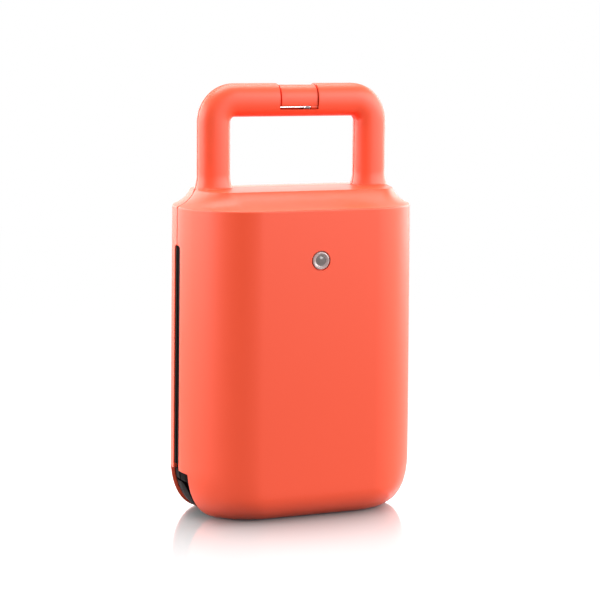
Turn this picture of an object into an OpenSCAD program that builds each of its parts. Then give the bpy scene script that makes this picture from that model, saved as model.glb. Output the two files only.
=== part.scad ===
// Upright clamshell contact cooker with a loop handle: two moulded shells hinged at their foot,
// each with its own frame, cooking plate and heating element, and a sprung clip over the handle.
// Millimetres. +X runs across the body, the lid faces -Y, the base faces +Y and +Z is up.
// The origin is on the floor, under the middle of the parting face.

/* [Shells] */
// How much further than the plates the shells reach, on each side
side_margin = 12; // [11:0.25:15]
// How far each side leans out from the shoulder down to the foot
side_lean = 1.3; // [0:0.1:2]
// Height of the shoulder edge above the plates
head_margin = 21.6; // [20:0.2:26]
// Depth of one shell, from the parting face to its flat face
shell_d = 42.5; // [40:0.5:50]
// Width of the flat face of a shell
flat_w = 68; // [60:1:76]
// Width of the lower corners, seen from the front
corner_w = 17; // [14:0.5:24]
// Height of the lower corners
corner_h = 29; // [27:0.5:36]
// Width of the flat face where it meets the foot
foot_flat_w = 48; // [40:1:60]
// Radius of the edge between the flat face and the foot
foot_edge_r = 16; // [12:0.5:17]
// Wall of the shells
wall = 2.2; // [1.8:0.1:2.4]
// Gap between the two shells where they meet
parting_gap = 0.6; // [0.4:0.1:1]
// Width of the open slot between the shells, down each side
slot_gap = 8.4; // [7.6:0.2:10]
// Distance from the shoulder down to the top of that slot
slot_drop = 21.6; // [18:0.2:26]

/* [Neck and handle] */
// Distance between the centres of the handle's legs
handle_w = 96; // [86:1:100]
// Height of the handle's top above the shoulder
handle_rise = 68.7; // [62:0.1:80]
// Thickness of the handle, seen from the front
bar_w = 18.8; // [17:0.2:21]
// Depth of the handle, both halves together
bar_d = 16; // [15:0.2:18]
// Radius of the handle's bends, at the centre of the bar
bend_r = 12; // [11:0.5:16]
// How far the legs widen at the neck
leg_flare = 1.5; // [0.5:0.1:2.5]
// Height over which the legs widen
leg_flare_h = 8; // [6:0.5:12]
// How much further than the handle's legs the neck reaches, on each side
neck_margin = 2; // [1:0.1:4]
// Depth of the neck's top face, both halves together
neck_d = 49; // [44:0.5:56]
// Height of the neck's edge above the shoulder
neck_h = 9.3; // [8:0.1:14]
// Width of the neck's rounded ends
neck_end = 13; // [10:0.5:16]
// Rise of the neck's top face towards the parting line
neck_crown = 0.8; // [0.2:0.1:1.2]

/* [Hinge] */
// Height of the hinge axis above the floor
hinge_z = 11; // [10.8:0.1:12]
// Radius of the hinge barrels
barrel_r = 8; // [7:0.2:8]
// Diameter of the hinge pins
hinge_pin_d = 4; // [3:0.5:5]
// Height of the hinge opening between the shells
hinge_open_z = 26; // [25:0.2:28]
// Width of the hinge opening between the shells, both halves together
hinge_open_y = 28; // [28:0.5:31]
// Width of the base's middle barrel
mid_barrel_w = 52; // [40:1:56]
// Length of each lid barrel
lid_barrel_w = 17; // [12:1:18]
// Length of each hinge pin
hinge_pin_l = 28; // [26:1:30]

/* [Frames] */
// Gap between the two frames when shut
frame_gap = 1.6; // [1.2:0.1:2.4]
// Thickness of the frames' walls
frame_t = 2; // [1.8:0.1:2.2]
// Thickness of the frames' faces
face_t = 2.4; // [2:0.1:2.8]
// Clearance between a frame and its shell
frame_fit = 0.5; // [0.4:0.1:0.8]
// Distance from the shoulder down to the frames' top edge
frame_drop = 7.6; // [6.8:0.2:10]
// How far the frames' lips in the side slots lie inside the shells' sides
lip_inset = 1.1; // [0.8:0.1:2]

/* [Cooking plates] */
// Width of the cooking plates
plate_w = 116; // [102:1:130]
// Height of the cooking plates
plate_h = 120; // [106:1:134]
// Height of the plates' lower edge above the floor
plate_foot_z = 34; // [33:0.5:38]
// Corner radius of the plates
plate_r = 12; // [8:0.5:14]
// Thickness of the plates' floor
plate_t = 3; // [2.6:0.1:3.4]
// Thickness of the plates' rim
plate_rim = 3; // [2.6:0.1:3.6]
// Depth of the dish of each plate, from its rim to its floor
plate_dish = 10.3; // [9.8:0.1:11]
// Lugs of the waffle pattern, across and up
lug_n = 5; // [4:1:6]
// Height of the lugs
lug_h = 8; // [6:0.2:8.4]
// Width of a lug at its foot
lug_w = 16; // [12:0.5:16.5]
// How much narrower a lug is at its tip, on each side
lug_draft = 2; // [1.5:0.25:3]
// Gap between a plate and the frame around it
plate_fit = 0.4; // [0.3:0.1:0.6]

/* [Heating] */
// Diameter of the heating elements' sheath
element_d = 6.4; // [5.5:0.1:7]
// Width of the element's loop
element_w = 64; // [56:1:66]
// Height of the element's loop
element_h = 68; // [60:1:72]
// Thickness of the sheet-metal reflectors
sheet_t = 0.6; // [0.5:0.1:0.8]
// Diameter of the thermostat
thermostat_d = 16; // [14:0.5:17]

/* [Latch] */
// Distance of the latch from the middle of the handle
latch_x = 1.2; // [-3:0.1:3]
// Width of the latch's slot in the handle
latch_slot = 23.8; // [21:0.2:26]
// Thickness of the latch clip
clip_t = 2.2; // [2:0.1:2.4]
// Gap at the clip's left end
clip_play = 1.2; // [0.5:0.1:1.5]
// How far the clip lies under the handle's surface
clip_sink = 0.9; // [0.7:0.05:1.1]
// Diameter of the latch's steel pin
latch_pin_d = 1.2; // [1:0.1:1.6]
// Wire of the latch spring
spring_wire = 0.5; // [0.4:0.05:0.6]

/* [Lamp and fittings] */
// Distance from the shoulder down to the lamp's centre
lamp_drop = 28.1; // [24:0.1:34]
// Diameter of the lamp's lens
lens_d = 10.6; // [9:0.2:12]
// How far the lens stands out of the lid
lens_proud = 1.6; // [1:0.1:2.4]
// Diameter of the rubber feet
foot_d = 13; // [11:0.5:14]
// How far the feet stand out of the base
foot_proud = 2; // [1.5:0.1:3]
// Distance between the feet across the base
foot_dx = 50; // [44:1:54]
// Bore of the cord gland
gland_bore_d = 7.2; // [6:0.1:8]
// Diameter of the cord gland's body
gland_d = 11; // [10:0.2:12]
// Diameter of the screws' shanks
screw_d = 3; // [2.6:0.1:3.4]
// Diameter of the screws' heads
screw_head_d = 5.8; // [5.4:0.2:6.4]

/* [Hidden] */

$fn = 48;
eps = 0.01;
touch = 0.05;
big = 400;

CORAL = [0.98, 0.43, 0.33];
BLACK = [0.10, 0.10, 0.10];
CAST = [0.20, 0.20, 0.21];
STEEL = [0.75, 0.76, 0.78];
BRASS = [0.80, 0.65, 0.30];
CREAM = [0.90, 0.88, 0.82];

// Steps of the lofted surfaces, and the headings between which the flare under the neck turns.
arc_n = 9;
corner_n = 10;
flare_n = 7;
bar_n = 18;
bend_n = 8;
flare_from = 20;
flare_to = 65;
bar_power = 2.3;
shoulder_edge = 0.8;
neck_edge = 0.5;

body_w = plate_w + 2 * side_margin;
shoulder_z = plate_foot_z + plate_h + head_margin;
plate_z = plate_foot_z + plate_h / 2;
neck_w = handle_w + bar_w + 2 * neck_margin;
neck_z = shoulder_z + neck_h;
handle_top = shoulder_z + handle_rise;
bar_z = handle_top - bar_w / 2;
slot_top = shoulder_z - slot_drop;
frame_top = shoulder_z - frame_drop;
frame_y = frame_gap / 2;
open_y = hinge_open_y / 2;

function mix(a, b, s) = a + (b - a) * s;
function sgn_pow(v, p) = sign(v) * pow(abs(v), p);

// ---- Lofted half body, on the base's side of the parting face ----
function side_w(z) = body_w / 2 + side_lean * (1 - z / shoulder_z);
function quarter(r, inset, z) = sqrt(max(0, pow(r - inset, 2) - pow(r - z, 2)));
// Share of the lower corner's width that is reached at a height: 0 at the foot, 1 at its top.
function corner_run(z, inset) =
    z >= corner_h ? 1 : sqrt(max(0, 1 - pow((corner_h - z) / (corner_h - inset), 2)));
function half_w(z, inset) = side_w(z) - corner_w + (corner_w - inset) * corner_run(z, inset);
function half_flat(z) = mix(foot_flat_w, flat_w, corner_run(z, 0)) / 2;
function half_d(z, inset) =
    z >= foot_edge_r ? shell_d - inset : shell_d - foot_edge_r + quarter(foot_edge_r, inset, z);

// A level of the body: [height, half width, half width of the flat, depth].
function low_levels(inset) = [
    for (k = [0:corner_n])
        let (z = inset + (corner_h - inset) * (1 - cos(90 * k / corner_n)))
        [z, half_w(z, inset), half_flat(z), half_d(z, inset)]
];
// The flare is an arc: steep at the neck, nearly level at the shoulder.
function flare_level(s, inset) =
    let (q = mix(flare_from, flare_to, s),
         rise = (cos(flare_from) - cos(q)) / (cos(flare_from) - cos(flare_to)),
         go = (sin(q) - sin(flare_from)) / (sin(flare_to) - sin(flare_from)))
    [shoulder_z - inset + (neck_h - neck_edge) * rise,
     mix(body_w / 2 - shoulder_edge, neck_w / 2, go) - inset,
     mix(flat_w / 2, neck_w / 2 - neck_end, go),
     mix(shell_d - shoulder_edge, neck_d / 2, go) - inset];
function shoulder_level(inset) =
    [shoulder_z - shoulder_edge - inset, body_w / 2 - inset, flat_w / 2, shell_d - inset];
function top_level(inset) =
    let (cut = inset + neck_edge)
    [neck_z - inset, neck_w / 2 - cut, neck_w / 2 - neck_end, neck_d / 2 - cut];
function body_levels(inset) = concat(
    low_levels(inset),
    [shoulder_level(inset)],
    [for (k = [0:flare_n]) flare_level(k / flare_n, inset)],
    [top_level(inset)]
);

function half_ring(level, crown) = [
    for (side = [1, -1])
        for (i = [0:arc_n])
            let (q = side > 0 ? 90 * i / arc_n : 90 - 90 * i / arc_n,
                 y = level[3] * sin(q))
            [side * (level[2] + (level[1] - level[2]) * cos(q)), y,
             level[0] + crown * (1 - pow(y / level[3], 2))]
];

// Closed skin over a list of rings that all have the same number of points.
module loft(rings) {
    n = len(rings[0]);
    last = len(rings) - 1;
    half = floor(n / 2) - 1;
    sides = [
        for (k = [0:last - 1]) for (i = [0:n - 1])
            let (j = (i + 1) % n, a = k * n, b = a + n)
            each [[a + i, b + i, b + j], [a + i, b + j, a + j]]
    ];
    caps = [
        for (i = [0:half - 1]) let (j = n - 1 - i, t = last * n)
            each [[i, i + 1, j - 1], [i, j - 1, j],
                  [t + i, t + j, t + j - 1], [t + i, t + j - 1, t + i + 1]]
    ];
    middle = n % 2 == 0 ? [] : [[half, half + 1, half + 2],
                                [last * n + half, last * n + half + 2, last * n + half + 1]];
    polyhedron([for (r = rings) each r], concat(sides, caps, middle), convexity = 6);
}

module half_body(inset) {
    levels = body_levels(inset);
    top = len(levels) - 1;
    loft([for (k = [0:top]) half_ring(levels[k], k == top ? neck_crown : 0)]);
}

// ---- Handle: half of an oval bar swept along an arch ----
// A station of the arch: [x, z, outward x, outward z, extra half width].
function leg_stations(side, foot_z) = [
    for (h = [0, 0.35, 0.7, 1])
        let (z = neck_z + leg_flare_h * h)
        [side * handle_w / 2, h == 0 ? foot_z : z, side, 0, leg_flare * pow(1 - h, 2)]
];
function bend_stations(side) = [
    for (k = [0:bend_n])
        let (q = 90 * k / bend_n)
        [side * (handle_w / 2 - bend_r + bend_r * cos(q)), bar_z - bend_r + bend_r * sin(q),
         side * cos(q), sin(q), 0]
];
function reversed(list) = [for (i = [len(list) - 1:-1:0]) list[i]];
function arch(foot_z) = concat(
    leg_stations(1, foot_z), bend_stations(1), reversed(bend_stations(-1)),
    reversed(leg_stations(-1, foot_z))
);
function bar_ring(st, inset) = [
    for (i = [0:bar_n])
        let (q = 180 * i / bar_n,
             u = (bar_w / 2 - inset + st[4]) * sgn_pow(cos(q), 2 / bar_power),
             v = (bar_d / 2 - inset + st[4]) * sgn_pow(abs(sin(q)), 2 / bar_power))
        [st[0] + u * st[2], v, st[1] + u * st[3]]
];
leg_sink = 2;
module half_handle(inset) {
    foot_z = neck_z - wall - leg_sink - inset;
    loft([for (st = arch(foot_z)) bar_ring(st, inset)]);
}

// ---- Latch section, in the plane across the bar ----
clip_in = clip_sink + clip_t;
clip_gap = 0.4;
clip_clear = 0.5;
clip_x0 = latch_x - latch_slot / 2 + clip_play;
clip_x1 = latch_x + latch_slot / 2 - clip_clear;
pin_back = 2.6;
pin_drop = 4;
pin_y = -(bar_d / 2 - pin_back);
pin_z = bar_z - pin_drop;
pin_r = latch_pin_d / 2;
pin_grip = 2;
run_fit = 0.05;
knuckle_r = pin_r + 1.1;
knuckle_clear = 0.4;
clip_front_z = pin_z + 0.6;
clip_back_z = pin_z + 0.5;
recess_front_z = pin_z - knuckle_r - 0.3;
recess_back_z = clip_back_z - 0.6;
cheek = 3;
swing_clear = 0.35;
// Where the clip's inner corner at the back lies, which sets how far its recess must clear.
corner_up = abs(clip_back_z - bar_z) / (bar_w / 2 - clip_in);
corner_y = (bar_d / 2 - clip_in) * pow(1 - pow(corner_up, bar_power), 1 / bar_power);
swing_r = norm([corner_y - pin_y, clip_back_z - pin_z]) - swing_clear;

module bar_section(inset) {
    translate([0, bar_z])
        polygon([for (q = [0:7.5:352.5])
            [(bar_d / 2 - inset) * sgn_pow(cos(q), 2 / bar_power),
             (bar_w / 2 - inset) * sgn_pow(sin(q), 2 / bar_power)]]);
}
// Places a drawing made in (y, z) across x from x0 to x1.
module across(x0, x1) {
    translate([x0, 0, 0]) rotate([90, 0, 90]) linear_extrude(x1 - x0) children();
}
// Places a drawing made in (x, z) between the depths y0 and y1.
module deep(y0, y1) {
    translate([0, y1, 0]) rotate([90, 0, 0]) linear_extrude(y1 - y0) children();
}
module pin_x(x0, x1, r, y = 0, z = hinge_z) {
    translate([x0, y, z]) rotate([0, 90, 0]) cylinder(r = r, h = x1 - x0);
}
module pin_deep(x, z, y0, y1, r) {
    translate([x, y1, z]) rotate([90, 0, 0]) cylinder(r = r, h = y1 - y0);
}

module latch_recess() {
    across(latch_x - latch_slot / 2, latch_x + latch_slot / 2) {
        difference() {
            union() {
                translate([-big, recess_front_z]) square([big, big]);
                translate([-eps, recess_back_z]) square([big, big]);
            }
            intersection() {
                bar_section(clip_in + clip_gap);
                translate([pin_y, pin_z]) circle(r = swing_r);
            }
        }
        translate([pin_y, pin_z]) circle(r = knuckle_r + knuckle_clear);
    }
}
module latch_block() {
    intersection() {
        half_handle(0);
        translate([latch_x - latch_slot / 2 - cheek, -big / 2, bar_z - bar_w])
            cube([latch_slot + 2 * cheek, big, big]);
    }
}

// ---- Shell skins ----
// Everything inside is joined into one moulded skin of flat facets.
module one_skin() { resize([0, 0, 0]) children(); }

frame_boss_r = 4;
boss_space = 0.6;
top_screw_in = 8;
low_screw_in = 1;
head_sink = 1.6;
block_top = hinge_open_z - frame_fit;
plate_top = plate_z + plate_h / 2 + plate_fit + frame_t;
top_screw = [plate_w / 2 - top_screw_in, plate_top + boss_space + frame_boss_r];
low_screw = [plate_w / 2 - low_screw_in, block_top + boss_space + frame_boss_r];
SCREWS = [for (s = [-1, 1]) for (p = [top_screw, low_screw]) [s * p[0], p[1]]];
boss_y = frame_y + face_t + head_sink;
frame_screw_l = 13.6;
pilot_l = 14;

foot_low = 2;
foot_high = 8;
foot_sink = 2.8;
foot_wall = 2;
foot_fit = 0.15;
foot_edge = 0.8;
FEET = [
    for (s = [-1, 1]) for (z = [plate_foot_z + foot_low, plate_foot_z + plate_h - foot_high])
        [s * foot_dx / 2, z]
];
foot_seat = shell_d - foot_sink;

gland_y = 22;
gland_z = 21;
gland_l = 12;
gland_wall = 2.4;
gland_out = body_w / 2 - 2.4;
gland_in = gland_out - gland_l;
gland_lip = 1.6;
gland_lip_w = 2;
clamp_gap = 3.6;
clamp_w = 8;
clamp_t = 5;
clamp_reach = 7;
clamp_end = 3.5;
clamp_x = gland_in - clamp_gap - clamp_w / 2;
clamp_z = [gland_z - clamp_reach, gland_z + clamp_reach];
clamp_y = gland_y;
clamp_post_r = 3.4;
clamp_rib = 5;
clamp_bite = 8;
cord_squeeze = 0.4;
cord_grip_r = gland_bore_d / 2 - cord_squeeze;

block_x = 14;
block_w = 30;
block_h = 12;
block_d = 8;
block_z = 15;
block_stand = 3.6;
block_post_r = 5;
block_bite = 4;
block_seat = shell_d - wall - block_stand;
block_screw_r = 1.1;

lamp_z = shoulder_z - lamp_drop;
lamp_r = lens_d / 2 - 0.8;

module rim_cuts() {
    translate([-big / 2, -eps, -eps]) {
        cube([big, parting_gap / 2 + eps, big]);
        cube([big, slot_gap / 2 + eps, slot_top]);
        cube([big, open_y + eps, hinge_open_z]);
    }
}
module shell_bosses() {
    for (p = SCREWS) pin_deep(p[0], p[1], boss_y, shell_d, frame_boss_r);
    children();
}
module half_shell() {
    difference() {
        union() {
            difference() {
                union() { half_body(0); half_handle(0); }
                half_body(wall);
                half_handle(wall);
            }
            latch_block();
            intersection() {
                half_body(0);
                shell_bosses() children();
            }
        }
        rim_cuts();
    }
}
module frame_screw_pilots() {
    for (p = SCREWS) pin_deep(p[0], p[1], boss_y - eps, boss_y + pilot_l, screw_d / 2);
}
module base_bosses() {
    for (p = FEET) pin_deep(p[0], p[1], foot_seat - foot_wall, shell_d, foot_d / 2 + foot_wall);
    for (z = clamp_z) pin_deep(clamp_x, z, clamp_y, shell_d, clamp_post_r);
    translate([clamp_x - clamp_rib / 2, clamp_y, clamp_z[0]])
        cube([clamp_rib, shell_d, clamp_z[1] - clamp_z[0]]);
    pin_deep(block_x, block_z, block_seat, shell_d, block_post_r);
}
module base_shell() {
    color(CORAL) difference() {
        one_skin() difference() {
            union() {
                half_shell() base_bosses();
                pin_x(gland_in + wall, gland_out, gland_d / 2 + gland_wall, gland_y, gland_z);
            }
            latch_recess();
        }
        frame_screw_pilots();
        for (p = FEET) pin_deep(p[0], p[1], foot_seat, big, foot_d / 2 + foot_fit);
        for (z = clamp_z) pin_deep(clamp_x, z, clamp_y - eps, clamp_y + clamp_bite, screw_d / 2);
        pin_x(clamp_x - clamp_rib, clamp_x + clamp_rib, cord_grip_r, clamp_y, gland_z);
        pin_deep(block_x, block_z, block_seat - eps, block_seat + block_bite, block_screw_r);
        pin_x(gland_in - wall, big / 2, gland_d / 2, gland_y, gland_z);
    }
}
module lid_shell() {
    color(CORAL) difference() {
        one_skin() difference() {
            mirror([0, 1, 0]) half_shell();
            latch_recess();
        }
        mirror([0, 1, 0]) frame_screw_pilots();
        pin_deep(0, lamp_z, -big, -shell_d / 2, lamp_r);
        latch_pin_rod();
    }
}

// ---- Frames ----
face_inset = wall + frame_fit;
lip_reach = face_inset + frame_t;
lip_low_z = corner_h + frame_fit;
lip_top_z = slot_top - frame_fit;
skirt_inset = wall + 4.4;
skirt_d = 6;
skirt_drop = 3;
frame_corner_r = 10;
frame_corner_n = 6;
function outline_side(inset) = [
    for (k = [0:corner_n])
        let (q = 90 * k / corner_n)
        [side_w(corner_h) - corner_w + (corner_w - inset) * sin(q),
         corner_h - (corner_h - inset) * cos(q)]
];
// Outline of a frame, inset from the shell's side, up to the height top_z.
module frame_outline(inset, top_z) {
    r = frame_corner_r;
    right = concat(
        outline_side(inset),
        [for (k = [0:frame_corner_n])
            let (q = 90 * k / frame_corner_n)
            [side_w(top_z) - inset - r + r * cos(q), top_z - r + r * sin(q)]]
    );
    polygon(concat(right, [for (p = reversed(right)) [-p[0], p[1]]]));
}
// Rounded rectangle about the middle of the plates.
module rounded(w, h, r) {
    translate([0, plate_z]) {
        square([w - 2 * r, h], center = true);
        square([w, h - 2 * r], center = true);
        for (x = [-1, 1]) for (y = [-1, 1])
            translate([x * (w / 2 - r), y * (h / 2 - r)]) circle(r = r);
    }
}

barrel_clear = 1;
pocket_y = barrel_r + barrel_clear;
pocket_z = hinge_z + barrel_r + barrel_clear;
apron_t = 2;
apron_y = open_y - apron_t;
apron_low_z = hinge_z - 8.5;
apron_slope_z = hinge_z - 4.5;
block_end_y = open_y - frame_fit;
face_y = frame_y + face_t;
plate_sink = 0.4;
plate_y0 = frame_y + plate_sink;
floor_y = plate_y0 + plate_dish;
plate_back = floor_y + plate_t;
tab_gap = 1.5;
tab_t = 2;
tab_r = 13.5;
tab_y0 = plate_back + tab_gap;
tab_y1 = tab_y0 + tab_t;
plate_boss_in = 12;
plate_boss_r = 4;
post_in = 9;
post_up = 6;
post_r = 2.5;
post_screw_r = 1.2;
boss_dx = plate_w / 2 - plate_boss_in;
boss_dz = plate_h / 2 - plate_boss_in;
PLATE_BOSSES = [for (x = [-1, 1]) for (z = [-1, 1]) [x * boss_dx, plate_z + z * boss_dz]];
SHEET_POSTS = [
    for (x = [-1, 1]) for (z = [-1, 1]) [x * (boss_dx - post_in), plate_z + z * (boss_dz + post_up)]
];
element_r = element_d / 2;
clip_fit = 0.2;
clip_sheet = 0.8;
element_y = plate_back + clip_fit + element_r;
sheet_space = 2.6;
sheet_y = element_y + element_r + sheet_space;

module opening(extra) {
    rounded(plate_w + 2 * (plate_fit + extra), plate_h + 2 * (plate_fit + extra), plate_r + extra);
}
module hinge_pocket() {
    across(-big, big) polygon([
        [-big, -big], [apron_y, -big], [apron_y, apron_low_z], [pocket_y, apron_slope_z],
        [pocket_y, pocket_z], [-big, pocket_z]
    ]);
}
screw_fit = 0.2;
// The shell's lower end, inset, up to just above the hinge opening.
module hinge_end(inset) {
    loft([for (l = low_levels(inset)) half_ring(l, 0)]);
}
module half_frame() {
    difference() {
        union() {
            // The face around the plate, and the wall that locates it in the shell.
            deep(frame_y, face_y) difference() {
                frame_outline(face_inset, frame_top);
                translate([-big / 2, -big]) square([big, big + hinge_open_z]);
            }
            // The lips that show in the side slots.
            deep(frame_y, face_y) intersection() {
                frame_outline(lip_inset, frame_top);
                for (s = [-1, 1]) translate([s * body_w / 2, (lip_low_z + lip_top_z) / 2])
                    square([2 * lip_reach, lip_top_z - lip_low_z], center = true);
            }
            deep(face_y - eps, face_y + skirt_d) difference() {
                frame_outline(skirt_inset, frame_top - skirt_drop);
                frame_outline(skirt_inset + frame_t, frame_top - skirt_drop - frame_t);
                translate([-big / 2, -big]) square([big, big + hinge_open_z]);
                for (p = SCREWS) translate(p) circle(r = frame_boss_r + boss_space);
            }
            // The wall around the plate, with a tab behind each of its screw bosses.
            deep(face_y - eps, tab_y1) difference() {
                opening(frame_t);
                opening(0);
            }
            deep(tab_y0, tab_y1) intersection() {
                opening(eps);
                for (p = PLATE_BOSSES) translate(p) circle(r = tab_r);
            }
            for (p = SHEET_POSTS) pin_deep(p[0], p[1], tab_y1 - eps, sheet_y, post_r);
            // The hinge end.
            difference() {
                intersection() {
                    hinge_end(face_inset);
                    deep(frame_y, block_end_y) translate([-big / 2, 0]) square([big, block_top]);
                }
                intersection() {
                    hinge_end(face_inset + frame_t);
                    union() {
                        deep(pocket_y + frame_t, big)
                            translate([-big / 2, 0]) square([big, block_top - frame_t]);
                        deep(face_y, big) translate([-big / 2, pocket_z + frame_t])
                            square([big, block_top - pocket_z - 2 * frame_t]);
                    }
                }
            }
            // Land that joins the hinge end to the face.
            deep(frame_y, face_y) intersection() {
                frame_outline(face_inset, frame_top);
                translate([-big / 2, block_top - eps]) square([big, hinge_open_z - block_top + 2 * eps]);
            }
        }
        deep(-big, face_y) opening(0);
        hinge_pocket();
        for (p = SCREWS) {
            pin_deep(p[0], p[1], -big, big, screw_d / 2 + screw_fit);
            pin_deep(p[0], p[1], -big, frame_y + head_sink, screw_head_d / 2 + screw_fit);
        }
        for (p = PLATE_BOSSES) pin_deep(p[0], p[1], 0, big, screw_d / 2 + screw_fit);
        for (p = SHEET_POSTS) pin_deep(p[0], p[1], tab_y1, big, post_screw_r);
    }
}

barrel_gap = 0.5;
barrel_end = 1;
pin_bite = 5.5;
lid_b0 = mid_barrel_w / 2 + barrel_gap;
lid_b1 = lid_b0 + lid_barrel_w;
ear_b0 = lid_b1 + barrel_gap;
hinge_r = hinge_pin_d / 2;
pin_x0 = lid_b0 - pin_bite;
web_low = hinge_z - 5;
web_top = hinge_z + barrel_r - 0.5;

// A hinge barrel from x0 to x1 with the web that carries it, on the base's side.
module barrel(x0, x1) {
    pin_x(x0, x1, barrel_r);
    translate([x0, 0, web_low]) cube([x1 - x0, pocket_y + eps, web_top - web_low]);
}
module base_frame() {
    color(BLACK) difference() {
        union() {
            half_frame();
            barrel(-mid_barrel_w / 2, mid_barrel_w / 2);
            intersection() {
                for (s = [0, 1]) mirror([s, 0, 0]) barrel(ear_b0, body_w / 2);
                union() for (s = [0, 1]) mirror([0, s, 0]) hinge_end(face_inset);
            }
        }
        for (s = [0, 1]) mirror([s, 0, 0]) pin_x(pin_x0, pin_x0 + hinge_pin_l, hinge_r);
    }
}
module lid_frame() {
    color(BLACK) difference() {
        union() {
            mirror([0, 1, 0]) half_frame();
            for (s = [0, 1]) mirror([s, 0, 0]) mirror([0, 1, 0]) barrel(lid_b0, lid_b1);
        }
        for (s = [0, 1]) mirror([s, 0, 0]) pin_x(lid_b0 - barrel_end, lid_b1 + barrel_end, hinge_r + run_fit);
    }
}
module hinge_pins() {
    color(STEEL) for (s = [0, 1]) mirror([s, 0, 0])
        pin_x(pin_x0, pin_x0 + hinge_pin_l, hinge_r);
}

// ---- Cooking plates ----
lug_edge = 2;
drill_in = 1;
lug_dx = (plate_w - 2 * plate_rim - 2 * lug_edge) / lug_n;
lug_dz = (plate_h - 2 * plate_rim - 2 * lug_edge) / lug_n;
module lug() {
    rotate([90, 0, 0]) rotate([0, 0, 45])
        cylinder(r1 = lug_w / sqrt(2), r2 = (lug_w - 2 * lug_draft) / sqrt(2), h = lug_h, $fn = 4);
}
module half_plate() {
    difference() {
        union() {
            deep(plate_y0, plate_back) rounded(plate_w, plate_h, plate_r);
            for (p = PLATE_BOSSES) pin_deep(p[0], p[1], plate_back - eps, tab_y0, plate_boss_r);
        }
        deep(-big, floor_y)
            rounded(plate_w - 2 * plate_rim, plate_h - 2 * plate_rim, plate_r - plate_rim);
        for (p = PLATE_BOSSES) pin_deep(p[0], p[1], floor_y + drill_in, big, screw_d / 2);
    }
    for (i = [0:lug_n - 1]) for (k = [0:lug_n - 1])
        let (x = (i - (lug_n - 1) / 2) * lug_dx, z = (k - (lug_n - 1) / 2) * lug_dz)
            translate([x, floor_y + touch, plate_z + z]) lug();
}
module base_plate() { color(CAST) half_plate(); }
module lid_plate() { color(CAST) mirror([0, 1, 0]) half_plate(); }

// ---- Tubes swept along a path of points ----
function unit(v) = v / norm(v);
function tangent(path, i) =
    unit(path[min(i + 1, len(path) - 1)] - path[max(i - 1, 0)]);
// The ring's first axis at each point, carried along the path without twisting.
function axes(path, a, i = 0, done = []) =
    i == len(path) ? done
    : let (t = tangent(path, i), n = unit(a - (a * t) * t)) axes(path, n, i + 1, concat(done, [n]));
function tube_rings(path, r, sides, first) = [
    for (i = [0:len(path) - 1])
        let (a = axes(path, first)[i], b = cross(tangent(path, i), a))
        [for (k = [0:sides - 1]) path[i] + r * (a * cos(360 * k / sides) + b * sin(360 * k / sides))]
];
module tube(path, r, sides = 8, first = [1, 0, 0]) {
    rings = tube_rings(path, r, sides, first);
    n = sides;
    last = len(rings) - 1;
    skin = [
        for (k = [0:last - 1]) for (i = [0:n - 1])
            let (j = (i + 1) % n, a = k * n, b = a + n)
            each [[a + i, a + j, b + j], [a + i, b + j, b + i]]
    ];
    ends = [[for (i = [n - 1:-1:0]) i], [for (i = [0:n - 1]) last * n + i]];
    polyhedron([for (r = rings) each r], concat(skin, ends), convexity = 8);
}

// ---- Heating elements ----
element_bend = 14;
element_open = 9;
element_dx = element_w / 2 - element_bend;
element_dz = element_h / 2 - element_bend;
element_z = plate_z - element_h / 2;
elbow_r = 5;
elbow_x = element_open + elbow_r;
terminal_out = 3;
terminal_pin_l = 6;
terminal_pin_r = 1.2;
terminal_y = sheet_y + terminal_out;
pin_end_y = terminal_y + terminal_pin_l;

module quarter_bend(r) { rotate_extrude(angle = 90) translate([r, 0]) circle(r = element_r); }
module rod_x(x0, x1, z) { pin_x(x0, x1, element_r, element_y, z); }
module half_element() {
    for (s = [0, 1]) mirror([s, 0, 0]) {
        for (top = [0, 1])
            translate([element_dx, element_y, plate_z + (2 * top - 1) * element_dz])
                rotate([90, 0, 0]) rotate([0, 0, 90 * top - 90]) quarter_bend(element_bend);
        translate([element_w / 2, element_y, plate_z - element_dz])
            cylinder(r = element_r, h = 2 * element_dz);
        rod_x(elbow_x, element_dx, element_z);
        translate([elbow_x, element_y + elbow_r, element_z]) rotate([0, 0, 180]) quarter_bend(elbow_r);
        pin_deep(element_open, element_z, element_y + elbow_r, terminal_y, element_r);
        pin_deep(element_open, element_z, terminal_y - touch, pin_end_y, terminal_pin_r);
    }
    rod_x(-element_dx, element_dx, plate_z + element_h / 2);
}
module base_element() { color(STEEL) half_element(); }
module lid_element() { color(STEEL) mirror([0, 1, 0]) half_element(); }

// Sheet clips that hold the element against its plate.
element_clip_h = 8;
module element_clip(x, z) {
    w = element_r + clip_fit;
    outer = 2 * (w + clip_sheet);
    translate([x, 0, z]) {
        deep(element_y - w, element_y + w + clip_sheet) difference() {
            square([outer, element_clip_h], center = true);
            square([2 * w, element_clip_h + eps], center = true);
        }
        deep(element_y + w, element_y + w + clip_sheet) square([outer, element_clip_h], center = true);
    }
}
module half_element_clips() {
    for (s = [-1, 1]) element_clip(s * element_w / 2, plate_z);
}
module base_element_clips() { color(STEEL) half_element_clips(); }
module lid_element_clips() { color(STEEL) mirror([0, 1, 0]) half_element_clips(); }

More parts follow.
